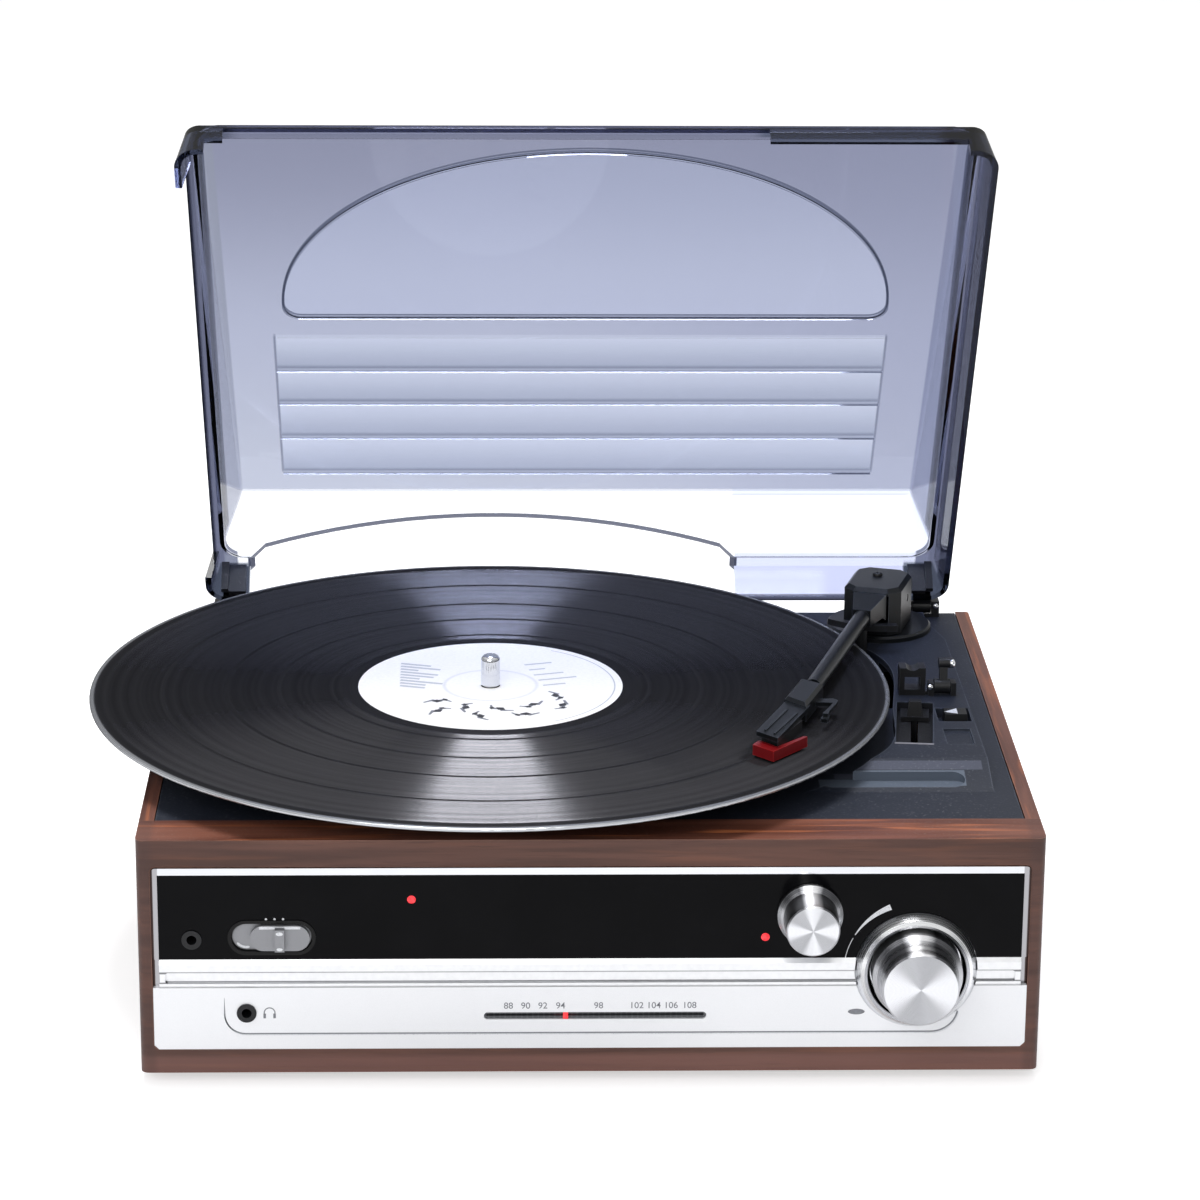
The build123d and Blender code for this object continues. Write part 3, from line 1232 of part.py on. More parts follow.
with BuildPart() as cue_lever:
    with BuildSketch(side(CUE_PIVOT_X - 3)):
        with Locations((CUE_PIVOT_Y, CUE_PIVOT_Z)):
            Circle(CUE_HUB)
    extrude(amount=6)
    with BuildSketch(side(CUE_PIVOT_X - 5.3)):
        with Locations((CUE_PIVOT_Y, CUE_PIVOT_Z)):
            Circle(CUE_AXLE)
    extrude(amount=10.6)
    with BuildSketch(side(CUE_PIVOT_X - 1)):
        with BuildLine():
            Polyline(
                (CUE_PIVOT_Y - 1.6, CUE_PIVOT_Z + 1.5),
                (CUE_PIVOT_Y - 0.2, CUE_PIVOT_Z + CUE_REACH),
                (CUE_PIVOT_Y + 2.2, CUE_PIVOT_Z + CUE_REACH),
                (CUE_PIVOT_Y + 2.2, CUE_PIVOT_Z + 1.5),
                close=True,
            )
        make_face()
    extrude(amount=3)
    with BuildSketch(side(CUE_PIVOT_X - 1.4)):
        with Locations((CUE_PIVOT_Y + 1, CUE_PIVOT_Z + CUE_REACH)):
            Circle(2.0)
    extrude(amount=5.4)
cue_lever.part.label = "cue_lever"
export_step(cue_lever.part, "parts/cue_lever.step")

with BuildPart() as cue_lift:
    with BuildSketch(level(LIFT_TOP - 2.5)):
        with Locations((ARM_X, ARM_Y)):
            Circle(LIFT_ARC + 1.5)
            Circle(LIFT_ARC - 1.5, mode=Mode.SUBTRACT)
        with BuildLine():
            Polyline(
                (ARM_X, ARM_Y),
                (ARM_X + 9, ARM_Y - 60),
                (ARM_X - 60, ARM_Y - 60),
                close=True,
            )
        make_face(mode=Mode.INTERSECT)
    extrude(amount=2.5)
    with BuildSketch(level(DECK_UNDER - 8)):
        with Locations((LIFT_X, LIFT_Y)):
            Circle(LIFT_STEM)
    extrude(amount=LIFT_TOP - 2.5 - DECK_UNDER + 8)
cue_lift.part.label = "cue_lift"
export_step(cue_lift.part, "parts/cue_lift.step")

with BuildPart() as speed_lever:
    with BuildSketch(level(WELL_FLOOR_Z + 0.3)):
        with Locations(Location((TAB_X, TAB_Y), WELL_TURN)):
            Rectangle(WELL_WIDTH - 3, 10)
    extrude(amount=1.6)
    with BuildSketch(level(WELL_FLOOR_Z + 0.3)):
        with Locations(Location((TAB_X, TAB_Y), WELL_TURN)):
            with Locations((0, -1.6)):
                Rectangle(6.4, 5.4)
    extrude(amount=SLIDER_TOP - WELL_FLOOR_Z - 0.3, taper=8)
    with BuildSketch(level(DECK_UNDER - 5)):
        with Locations(Location((TAB_X, TAB_Y), WELL_TURN)):
            Rectangle(LEVER_SLOT - 0.8, 7)
    extrude(amount=WELL_FLOOR_Z + 0.3 - DECK_UNDER + 5)
speed_lever.part.label = "speed_lever"
export_step(speed_lever.part, "parts/speed_lever.step")

with BuildPart() as auto_stop_knob:
    with BuildSketch(level(WELL_FLOOR_Z + 0.3)):
        with Locations((STOP_X + 1, STOP_Y + 2.5)):
            Rectangle(STOP_WIDTH - 3.4, 8)
    extrude(amount=ISLAND_RISE - 1.2, taper=6)
    with BuildSketch(level(DECK_UNDER - 4)):
        with Locations((STOP_X + 1, STOP_Y + 2.5)):
            Rectangle(LEVER_SLOT - 0.8, 6)
    extrude(amount=WELL_FLOOR_Z + 0.3 - DECK_UNDER + 4)
auto_stop_knob.part.label = "auto_stop_knob"
export_step(auto_stop_knob.part, "parts/auto_stop_knob.step")

SWITCH_X = ARM_X + 24.0
SWITCH_Y = ARM_Y - 14.0
SWITCH_WIDTH = 10.0
SWITCH_LENGTH = 20.0

with BuildPart() as auto_stop_microswitch:
    with BuildSketch(level(CAM_Z + 2)):
        with Locations((SWITCH_X, SWITCH_Y)):
            Rectangle(SWITCH_WIDTH, SWITCH_LENGTH)
    extrude(amount=DECK_UNDER - CAM_Z - 2)
    with BuildSketch(level(CAM_Z)):
        with Locations((SWITCH_X - 4, SWITCH_Y)):
            Rectangle(1, SWITCH_LENGTH - 4)
    extrude(amount=3)
auto_stop_microswitch.part.label = "auto_stop_microswitch"
export_step(auto_stop_microswitch.part, "parts/auto_stop_microswitch.step")

# ---------------------------------------------------------------- control panel
LUG_X = 60.0
LUG_DEPTH = 2.4
SHAFT_HOLE = KNOB_SHAFT + 0.05
BEZEL_THROAT = 17.5
BEZEL_DEPTH = 7.0
KNOB_CLEARANCE = 0.4
LED_RADIUS = 1.5
POWER_X = 91.6 - PANEL_WIDTH / 2
POWER_Z = BLACK_HIGH_Z - 9.5
STEREO_X = TUNING_X - 15.6
STEREO_Z = BLACK_HIGH_Z - 24.1
BLACK_FRONT = FRONT_Y - 0.3
STRIP_FRONT = FRONT_Y - 1.4
SILVER_FRONT = FRONT_Y - 0.6
RING_FRONT = FRONT_Y - PANEL_PROUD
SELECTOR_X = (SELECTOR_LEFT + SELECTOR_RIGHT) / 2
SELECTOR_SPAN = SELECTOR_RIGHT - SELECTOR_LEFT
SELECTOR_LIP = 1.2
JACK_BODY = 4.5
JACK_REAR = RAIL_REAR_Y - 0.3
DIAL_X = (DIAL_LEFT + DIAL_RIGHT) / 2
DIAL_SPAN = DIAL_RIGHT - DIAL_LEFT
BLACK_HALF = BLACK_WIDTH / 2
VOLUME_CUT = BEZEL_RADIUS + 0.1
OPENING_WIDTH = PANEL_WIDTH - 2 * PANEL_GAP
OPENING_MIDDLE = (PANEL_LOW_Z + PANEL_HIGH_Z) / 2
OPENING_HEIGHT = PANEL_HIGH - PANEL_LOW - 2 * PANEL_GAP

with BuildPart() as fascia_frame:
    with BuildSketch(front(CHASSIS_REAR)):
        with Locations((0, OPENING_MIDDLE)):
            RectangleRounded(OPENING_WIDTH, OPENING_HEIGHT, 1.8)
    extrude(amount=CHASSIS_THICKNESS)
    with BuildSketch(front(CHASSIS_FRONT)):
        with Locations((0, (STRIP_HIGH_Z + PANEL_HIGH_Z - PANEL_GAP) / 2)):
            RectangleRounded(OPENING_WIDTH, PANEL_HIGH_Z - PANEL_GAP - STRIP_HIGH_Z, 1.8)
        with Locations((0, (STRIP_HIGH_Z + BLACK_HIGH_Z) / 2 - 1)):
            Rectangle(BLACK_WIDTH, BLACK_HIGH_Z - STRIP_HIGH_Z + 2, mode=Mode.SUBTRACT)
    extrude(amount=CHASSIS_FRONT - RING_FRONT)
    with BuildSketch(front(CHASSIS_FRONT)):
        with Locations((VOLUME_X, VOLUME_Z)):
            Circle(SHAFT_HOLE)
        with Locations((TUNING_X, TUNING_Z)):
            Circle(SHAFT_HOLE)
        with Locations((POWER_X, POWER_Z), (STEREO_X, STEREO_Z)):
            Circle(LED_RADIUS)
        with Locations((AUX_X, AUX_Z), (PHONES_X, PHONES_Z)):
            Circle(JACK_BODY)
        with Locations((SELECTOR_X, SELECTOR_Z)):
            Rectangle(SELECTOR_SPAN - 8, 4)
        with Locations((DIAL_X, DIAL_Z)):
            SlotOverall(DIAL_SPAN + 2, DIAL_SLOT + 2)
    extrude(amount=-CHASSIS_THICKNESS, mode=Mode.SUBTRACT)
    with BuildSketch(front(CHASSIS_REAR)):
        with Locations((-LUG_X, PANEL_HIGH_Z - 4), (LUG_X, PANEL_HIGH_Z - 4)):
            Rectangle(8, 7)
        with Locations((-LUG_X, PANEL_LOW_Z + 4), (LUG_X, PANEL_LOW_Z + 4)):
            Rectangle(8, 7)
    extrude(amount=CHASSIS_REAR - RAIL_REAR_Y - LUG_DEPTH)
    with BuildSketch(front(RAIL_REAR_Y + LUG_DEPTH)):
        with Locations((-LUG_X, PANEL_HIGH_Z - 1), (LUG_X, PANEL_HIGH_Z - 1)):
            Rectangle(8, 13)
        with Locations((-LUG_X, PANEL_LOW_Z + 1), (LUG_X, PANEL_LOW_Z + 1)):
            Rectangle(8, 13)
    extrude(amount=LUG_DEPTH)
fascia_frame.part.label = "fascia_frame"
export_step(fascia_frame.part, "parts/fascia_frame.step")

with BuildPart() as display_panel:
    with BuildSketch(front(CHASSIS_FRONT)):
        with Locations((0, (STRIP_HIGH_Z + BLACK_HIGH_Z) / 2)):
            Rectangle(BLACK_WIDTH, BLACK_HIGH_Z - STRIP_HIGH_Z)
        with Locations((VOLUME_X, VOLUME_Z)):
            Circle(VOLUME_CUT, mode=Mode.SUBTRACT)
        with Locations((TUNING_X, TUNING_Z)):
            Circle(SHAFT_HOLE, mode=Mode.SUBTRACT)
        with Locations((POWER_X, POWER_Z), (STEREO_X, STEREO_Z)):
            Circle(LED_RADIUS, mode=Mode.SUBTRACT)
        with Locations((AUX_X, AUX_Z)):
            Circle(JACK_BODY - 1, mode=Mode.SUBTRACT)
        with Locations((SELECTOR_X, SELECTOR_Z)):
            SlotOverall(
                SELECTOR_SPAN + 2 * SELECTOR_LIP,
                SELECTOR_OPENING + 2 * SELECTOR_LIP,
                mode=Mode.SUBTRACT,
            )
    extrude(amount=CHASSIS_FRONT - BLACK_FRONT)
display_panel.part.label = "display_panel"
export_step(display_panel.part, "parts/display_panel.step")

with BuildPart() as trim_strip:
    with BuildSketch(side(-BLACK_HALF)):
        with BuildLine():
            Polyline(
                (CHASSIS_FRONT, STRIP_LOW_Z),
                (STRIP_FRONT + 0.7, STRIP_LOW_Z),
                (STRIP_FRONT, STRIP_LOW_Z + 1.0),
                (STRIP_FRONT, STRIP_HIGH_Z - 1.6),
                (STRIP_FRONT + 1.1, STRIP_HIGH_Z),
                (CHASSIS_FRONT, STRIP_HIGH_Z),
                close=True,
            )
        make_face()
    extrude(amount=BLACK_WIDTH)
    with BuildSketch(front(STRIP_FRONT + 1.2)):
        with Locations((0, CABINET_BOTTOM + (GROOVE_LOW + GROOVE_HIGH) / 2)):
            RectangleRounded(BLACK_WIDTH - 4, GROOVE_HIGH - GROOVE_LOW, 1.2)
    extrude(amount=2, mode=Mode.SUBTRACT)
    with BuildSketch(front(CHASSIS_FRONT)):
        with Locations((VOLUME_X, VOLUME_Z)):
            Circle(VOLUME_CUT)
    extrude(amount=6, mode=Mode.SUBTRACT)
trim_strip.part.label = "trim_strip"
export_step(trim_strip.part, "parts/trim_strip.step")

with BuildPart() as lower_panel:
    with BuildSketch(front(CHASSIS_FRONT)):
        with Locations((0, (PANEL_LOW_Z + PANEL_GAP + STRIP_LOW_Z) / 2)):
            Rectangle(OPENING_WIDTH, STRIP_LOW_Z - PANEL_LOW_Z - PANEL_GAP)
        chamfer(vertices().group_by(Axis.Y)[0], 1.6)
        with Locations((VOLUME_X, VOLUME_Z)):
            Circle(VOLUME_CUT, mode=Mode.SUBTRACT)
        with Locations((PHONES_X, PHONES_Z)):
            Circle(JACK_BODY - 1, mode=Mode.SUBTRACT)
        with Locations((DIAL_X, DIAL_Z)):
            SlotOverall(DIAL_SPAN, DIAL_SLOT, mode=Mode.SUBTRACT)
    extrude(amount=CHASSIS_FRONT - SILVER_FRONT)
lower_panel.part.label = "lower_panel"
export_step(lower_panel.part, "parts/lower_panel.step")

with BuildPart() as volume_bezel:
    with BuildSketch(knob_plane(VOLUME_X, VOLUME_Z)):
        with BuildLine():
            Polyline(
                (VOLUME_RADIUS + KNOB_CLEARANCE, -CHASSIS_FRONT),
                (BEZEL_RADIUS, -CHASSIS_FRONT),
                (BEZEL_RADIUS, -FRONT_Y + 0.8),
                (BEZEL_RADIUS - 1.8, -CHASSIS_FRONT + BEZEL_DEPTH - 1.2),
                (BEZEL_THROAT + 1.2, -CHASSIS_FRONT + BEZEL_DEPTH),
                (BEZEL_THROAT, -CHASSIS_FRONT + BEZEL_DEPTH - 0.8),
                (VOLUME_RADIUS + KNOB_CLEARANCE, -CHASSIS_FRONT + 2),
                close=True,
            )
        make_face()
    revolve(axis=Axis((VOLUME_X, 0, VOLUME_Z), (0, 1, 0)))
volume_bezel.part.label = "volume_bezel"
export_step(volume_bezel.part, "parts/volume_bezel.step")

with BuildPart() as volume_knob:
    with BuildSketch(knob_plane(VOLUME_X, VOLUME_Z)):
        with BuildLine():
            Polyline(
                (KNOB_SHAFT, -CHASSIS_FRONT + 1.2),
                (VOLUME_RADIUS, -CHASSIS_FRONT + 1.2),
                (VOLUME_RADIUS, -CHASSIS_FRONT + BEZEL_DEPTH + 2),
                (VOLUME_RADIUS - 1.4, -CHASSIS_FRONT + BEZEL_DEPTH + 3.4),
                (VOLUME_FACE, -FRONT_Y + VOLUME_LENGTH - 0.6),
                (VOLUME_FACE - 0.6, -FRONT_Y + VOLUME_LENGTH),
                (0, -FRONT_Y + VOLUME_LENGTH),
                (0, -CHASSIS_FRONT + 12),
                (KNOB_SHAFT, -CHASSIS_FRONT + 12),
                close=True,
            )
        make_face()
    revolve(axis=Axis((VOLUME_X, 0, VOLUME_Z), (0, 1, 0)))
volume_knob.part.label = "volume_knob"
export_step(volume_knob.part, "parts/volume_knob.step")

with BuildPart() as tuning_knob:
    with BuildSketch(knob_plane(TUNING_X, TUNING_Z)):
        with BuildLine():
            Polyline(
                (KNOB_SHAFT, -BLACK_FRONT + 0.5),
                (TUNING_RADIUS, -BLACK_FRONT + 0.5),
                (TUNING_RADIUS, -BLACK_FRONT + 2.2),
                (TUNING_RADIUS - 1.0, -BLACK_FRONT + 3.4),
                (TUNING_FACE + 0.3, -BLACK_FRONT + 4.2),
                (TUNING_FACE, -FRONT_Y + TUNING_LENGTH - 0.5),
                (TUNING_FACE - 0.5, -FRONT_Y + TUNING_LENGTH),
                (0, -FRONT_Y + TUNING_LENGTH),
                (0, -BLACK_FRONT + 9),
                (KNOB_SHAFT, -BLACK_FRONT + 9),
                close=True,
            )
        make_face()
    revolve(axis=Axis((TUNING_X, 0, TUNING_Z), (0, 1, 0)))
tuning_knob.part.label = "tuning_knob"
export_step(tuning_knob.part, "parts/tuning_knob.step")

POT_DEPTH = 8.0
with BuildPart() as volume_shaft:
    with BuildSketch(front(BOARD_FRONT - POT_DEPTH + 2)):
        with Locations((VOLUME_X, VOLUME_Z)):
            Circle(KNOB_SHAFT)
    extrude(amount=BOARD_FRONT - POT_DEPTH + 2 - CHASSIS_FRONT + 11.8)
volume_shaft.part.label = "volume_shaft"
export_step(volume_shaft.part, "parts/volume_shaft.step")

with BuildPart() as volume_pot:
    with BuildSketch(front(BOARD_FRONT)):
        with Locations((VOLUME_X, VOLUME_Z)):
            Circle(9)
    extrude(amount=POT_DEPTH)
    with BuildSketch(front(BOARD_FRONT)):
        with Locations((VOLUME_X, VOLUME_Z)):
            Circle(5)
    extrude(amount=BOARD_FRONT - CHASSIS_REAR)
    with BuildSketch(front(BOARD_FRONT - POT_DEPTH + 2.3)):
        with Locations((VOLUME_X, VOLUME_Z)):
            Circle(SHAFT_HOLE)
    extrude(amount=20, mode=Mode.SUBTRACT)
volume_pot.part.label = "volume_pot"
export_step(volume_pot.part, "parts/volume_pot.step")

DRUM_FRONT = CHASSIS_REAR + 2.5
DRUM_THICKNESS = 4.0
with BuildPart() as tuning_shaft:
    with BuildSketch(front(BOARD_FRONT - POT_DEPTH + 2)):
        with Locations((TUNING_X, TUNING_Z)):
            Circle(KNOB_SHAFT)
    extrude(amount=BOARD_FRONT - POT_DEPTH + 2 - BLACK_FRONT + 8.8)
    with BuildSketch(front(DRUM_FRONT + DRUM_THICKNESS)):
        with Locations((TUNING_X, TUNING_Z)):
            Circle(DRUM_RADIUS)
    extrude(amount=DRUM_THICKNESS)
    with BuildSketch(knob_plane(TUNING_X, TUNING_Z)):
        with Locations((DRUM_RADIUS, -DRUM_FRONT - DRUM_THICKNESS / 2)):
            Rectangle(2.4, 2)
    revolve(axis=Axis((TUNING_X, 0, TUNING_Z), (0, 1, 0)), mode=Mode.SUBTRACT)
tuning_shaft.part.label = "tuning_shaft"
export_step(tuning_shaft.part, "parts/tuning_shaft.step")

with BuildPart() as tuning_capacitor:
    with BuildSketch(front(BOARD_FRONT)):
        with Locations((TUNING_X, TUNING_Z)):
            Rectangle(20, 20)
    extrude(amount=POT_DEPTH)
    with BuildSketch(front(BOARD_FRONT - POT_DEPTH + 2.3)):
        with Locations((TUNING_X, TUNING_Z)):
            Circle(SHAFT_HOLE)
    extrude(amount=20, mode=Mode.SUBTRACT)
tuning_capacitor.part.label = "tuning_capacitor"
export_step(tuning_capacitor.part, "parts/tuning_capacitor.step")

with BuildPart() as dial_strip:
    with BuildSketch(front(CHASSIS_REAR)):
        with Locations((DIAL_X, DIAL_Z)):
            SlotOverall(DIAL_SPAN + 2, DIAL_SLOT + 2)
    extrude(amount=CHASSIS_THICKNESS)
    with BuildSketch(front(CHASSIS_FRONT)):
        with Locations((DIAL_X, DIAL_Z)):
            SlotOverall(DIAL_SPAN, DIAL_SLOT)
    extrude(amount=CHASSIS_FRONT - FRONT_Y - 0.3)
    with BuildSketch(front(CHASSIS_REAR)):
        with Locations((DIAL_X, DIAL_Z)):
            SlotOverall(DIAL_SPAN - 1.6, 0.9)
    extrude(amount=6, mode=Mode.SUBTRACT)
dial_strip.part.label = "dial_strip"
export_step(dial_strip.part, "parts/dial_strip.step")

with BuildPart() as dial_pointer:
    with BuildSketch(front(FRONT_Y + 0.3 - 0.3)):
        with Locations((POINTER_X, DIAL_Z)):
            Rectangle(1.8, 2.3)
    extrude(amount=0.5)
    with BuildSketch(front(CHASSIS_REAR + 0.4)):
        with Locations((POINTER_X, DIAL_Z)):
            Rectangle(1.6, 0.5)
    extrude(amount=CHASSIS_REAR + 0.4 - FRONT_Y)
    with BuildSketch(front(CHASSIS_REAR + 2.0)):
        with Locations((POINTER_X, DIAL_Z)):
            Rectangle(8, 6)
    extrude(amount=1.6)
dial_pointer.part.label = "dial_pointer"
export_step(dial_pointer.part, "parts/dial_pointer.step")

with BuildPart() as indicator_lamps:
    with BuildSketch(front(BOARD_FRONT)):
        with Locations((POWER_X, POWER_Z), (STEREO_X, STEREO_Z)):
            Circle(LED_RADIUS)
    extrude(amount=BOARD_FRONT - BLACK_FRONT)
indicator_lamps.part.label = "indicator_lamps"
export_step(indicator_lamps.part, "parts/indicator_lamps.step")

with BuildPart() as jack_sockets:
    with BuildSketch(front(JACK_REAR)):
        with Locations((AUX_X, AUX_Z), (PHONES_X, PHONES_Z)):
            Rectangle(11, 11)
    extrude(amount=JACK_REAR - CHASSIS_REAR)
    with BuildSketch(front(CHASSIS_REAR)):
        with Locations((AUX_X, AUX_Z), (PHONES_X, PHONES_Z)):
            Circle(JACK_BODY)
    extrude(amount=CHASSIS_THICKNESS)
    with BuildSketch(front(CHASSIS_FRONT)):
        with Locations((AUX_X, AUX_Z)):
            Circle(JACK_BODY - 1)
    extrude(amount=CHASSIS_FRONT - BLACK_FRONT + 0.6)
    with BuildSketch(front(CHASSIS_FRONT)):
        with Locations((PHONES_X, PHONES_Z)):
            Circle(JACK_BODY - 1)
    extrude(amount=CHASSIS_FRONT - SILVER_FRONT + 0.6)
    with BuildSketch(front(JACK_REAR - 1)):
        with Locations((AUX_X, AUX_Z), (PHONES_X, PHONES_Z)):
            Circle(SOCKET_BORE)
    extrude(amount=30, mode=Mode.SUBTRACT)
jack_sockets.part.label = "jack_sockets"
export_step(jack_sockets.part, "parts/jack_sockets.step")

with BuildPart() as selector_bezel:
    with BuildSketch(front(CHASSIS_FRONT)):
        with Locations((SELECTOR_X, SELECTOR_Z)):
            SlotOverall(SELECTOR_SPAN + 2 * SELECTOR_LIP, SELECTOR_OPENING + 2 * SELECTOR_LIP)
            SlotOverall(SELECTOR_SPAN, SELECTOR_OPENING, mode=Mode.SUBTRACT)
    extrude(amount=CHASSIS_FRONT - BLACK_FRONT + 0.5)
    with BuildSketch(front(CHASSIS_FRONT)):
        with Locations((SELECTOR_X, SELECTOR_Z)):
            SlotOverall(SELECTOR_SPAN, SELECTOR_OPENING)
            Rectangle(SELECTOR_SPAN - 8, 4, mode=Mode.SUBTRACT)
    extrude(amount=0.6)
selector_bezel.part.label = "selector_bezel"
export_step(selector_bezel.part, "parts/selector_bezel.step")

KNOB_X = SELECTOR_RIGHT - 0.9 - SELECTOR_KNOB / 2
with BuildPart() as selector_knob:
    with BuildSketch(front(CHASSIS_FRONT - 0.9)):
        with Locations((KNOB_X, SELECTOR_Z)):
            SlotOverall(SELECTOR_KNOB, SELECTOR_OPENING - 1.2)
    extrude(amount=2.0)
    with BuildSketch(front(CHASSIS_FRONT - 2.9)):
        with Locations((KNOB_X, SELECTOR_Z)):
            Rectangle(3.4, SELECTOR_OPENING - 2.4)
    extrude(amount=2.6)
    with BuildSketch(front(CHASSIS_FRONT - 0.9)):
        with Locations((KNOB_X, SELECTOR_Z)):
            Rectangle(5, 3)
    extrude(amount=-CHASSIS_THICKNESS - 3.5)
selector_knob.part.label = "selector_knob"
export_step(selector_knob.part, "parts/selector_knob.step")

with BuildPart() as selector_switch:
    with BuildSketch(front(BOARD_FRONT)):
        with Locations((SELECTOR_X, SELECTOR_Z)):
            Rectangle(SELECTOR_SPAN, 12)
    extrude(amount=BOARD_FRONT - CHASSIS_REAR - 3)
    with BuildSketch(front(CHASSIS_REAR + 4)):
        with Locations((SELECTOR_X, SELECTOR_Z)):
            Rectangle(SELECTOR_SPAN - 4, 4)
    extrude(amount=5, mode=Mode.SUBTRACT)
selector_switch.part.label = "selector_switch"
export_step(selector_switch.part, "parts/selector_switch.step")

with BuildPart() as control_board:
    with BuildSketch(front(BOARD_REAR)):
        with Locations((0, (PANEL_LOW_Z + PANEL_HIGH_Z) / 2)):
            Rectangle(2 * (INNER_X - CORNER_BLOCK) - 4, PANEL_HIGH - PANEL_LOW)
    extrude(amount=BOARD_REAR - BOARD_FRONT)
control_board.part.label = "control_board"
export_step(control_board.part, "parts/control_board.step")

# ---------------------------------------------------------------- inside and back
BOARD_Z = BOTTOM_TOP + 8.0
TRANSFORMER_X = 56.0 - INNER_X
TRANSFORMER_Y = REAR_Y - 58.0
CORE_WIDTH = 42.0
CORE_DEPTH = 34.0
CORE_HEIGHT = 34.0
COIL_WIDTH = 30.0
COIL_DEPTH = 46.0
TAB_WIDTH = 56.0
TAB_DEPTH = 16.0
MAIN_WIDTH = 120.0
MAIN_DEPTH = 80.0
MAIN_X = INNER_X - 111.0
MAIN_Y = REAR_Y - 68.0
SINK_WIDTH = 36.0

with BuildPart() as main_board:
    with BuildSketch(level(BOARD_Z)):
        with Locations((MAIN_X, MAIN_Y)):
            Rectangle(MAIN_WIDTH, MAIN_DEPTH)
    extrude(amount=1.6)
    with BuildSketch(level(BOTTOM_TOP)):
        with Locations((MAIN_X, MAIN_Y)):
            with GridLocations(MAIN_WIDTH - 12, MAIN_DEPTH - 12, 2, 2):
                Circle(3)
    extrude(amount=BOARD_Z - BOTTOM_TOP)
    with BuildSketch(level(BOARD_Z + 1.6)):
        with Locations((MAIN_X + 30, MAIN_Y - 10)):
            Rectangle(SINK_WIDTH, 4)
    extrude(amount=24)
    with BuildSketch(level(BOARD_Z + 1.6)):
        with Locations((MAIN_X - 40, MAIN_Y + 10), (MAIN_X - 24, MAIN_Y + 10)):
            Circle(6)
    extrude(amount=18)
main_board.part.label = "main_board"
export_step(main_board.part, "parts/main_board.step")

with BuildPart() as transformer:
    with BuildSketch(level(BOTTOM_TOP)):
        with Locations((TRANSFORMER_X, TRANSFORMER_Y)):
            Rectangle(CORE_WIDTH, CORE_DEPTH)
    extrude(amount=CORE_HEIGHT)
    with BuildSketch(level(BOTTOM_TOP)):
        with Locations((TRANSFORMER_X, TRANSFORMER_Y)):
            Rectangle(TAB_WIDTH, TAB_DEPTH)
    extrude(amount=2)
    with BuildSketch(level(BOTTOM_TOP + 6)):
        with Locations((TRANSFORMER_X, TRANSFORMER_Y)):
            Rectangle(COIL_WIDTH, COIL_DEPTH)
    extrude(amount=CORE_HEIGHT - 12)
transformer.part.label = "transformer"
export_step(transformer.part, "parts/transformer.step")

with BuildPart() as speakers:
    with BuildSketch(upright(SPEAKER_X, SPEAKER_Y)):
        with BuildLine():
            Polyline(
                (SPEAKER_RADIUS - 6, BOTTOM_TOP),
                (SPEAKER_RADIUS, BOTTOM_TOP),
                (SPEAKER_RADIUS, BOTTOM_TOP + 2),
                (15, BOTTOM_TOP + 16),
                (15, BOTTOM_TOP + 25),
                (0, BOTTOM_TOP + 25),
                (0, BOTTOM_TOP + 10),
                (8, BOTTOM_TOP + 12),
                close=True,
            )
        make_face()
    revolve(axis=Axis((SPEAKER_X, SPEAKER_Y, 0), (0, 0, 1)))
    mirror(about=Plane.YZ)
speakers.part.label = "speakers"
export_step(speakers.part, "parts/speakers.step")

JACK_PITCH = 26.0
BARREL_RADIUS = 4.15
with BuildPart() as line_out_jacks:
    with BuildSketch(front(REAR_BOARD_Y)):
        with Locations((TERMINAL_X, TERMINAL_Z)):
            Rectangle(TERMINAL_WIDTH + 10, TERMINAL_HEIGHT + 10)
    extrude(amount=2)
    with BuildSketch(front(REAR_Y - 0.5)):
        with Locations((TERMINAL_X, TERMINAL_Z)):
            with GridLocations(JACK_PITCH, 0, 2, 1):
                Circle(BARREL_RADIUS)
    extrude(amount=REAR_BOARD - 0.5)
    with BuildSketch(front(REAR_Y - 0.5)):
        with Locations((TERMINAL_X, TERMINAL_Z)):
            with GridLocations(JACK_PITCH, 0, 2, 1):
                Circle(1.6)
    extrude(amount=8, mode=Mode.SUBTRACT)
line_out_jacks.part.label = "line_out_jacks"
export_step(line_out_jacks.part, "parts/line_out_jacks.step")

with BuildPart() as mains_inlet:
    with BuildSketch(front(REAR_BOARD_Y)):
        with Locations((INLET_X, INLET_Z)):
            Rectangle(INLET_WIDTH + 6, INLET_HEIGHT + 6)
    extrude(amount=2)
    with BuildSketch(front(REAR_Y - 0.4)):
        with Locations((INLET_X, INLET_Z)):
            RectangleRounded(INLET_WIDTH - 0.4, INLET_HEIGHT - 0.4, 1.8)
    extrude(amount=REAR_BOARD - 0.4)
    with BuildSketch(front(REAR_Y)):
        with Locations((INLET_X, INLET_Z)):
            RectangleRounded(16, 9, 4)
    extrude(amount=9, mode=Mode.SUBTRACT)
    with BuildSketch(front(REAR_BOARD_Y + 6)):
        with Locations((INLET_X, INLET_Z)):
            with GridLocations(7, 0, 2, 1):
                Circle(1.2)
    extrude(amount=6.2)
mains_inlet.part.label = "mains_inlet"
export_step(mains_inlet.part, "parts/mains_inlet.step")
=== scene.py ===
# %% [markdown]
# # Dressing a stereo music centre
# The turntable arrives as sixty plain pieces, already in place and already jointed. Blender's work here is its
# looks: walnut veneer, moulded plastic, smoked acrylic, spun aluminium, vinyl and paper. Each cell below takes
# one finish or one small piece, says what it is on the real thing, and then makes it.

# %% Load the frame
import functools
import math

import bmesh
import bpy
from mathutils import Matrix, Vector


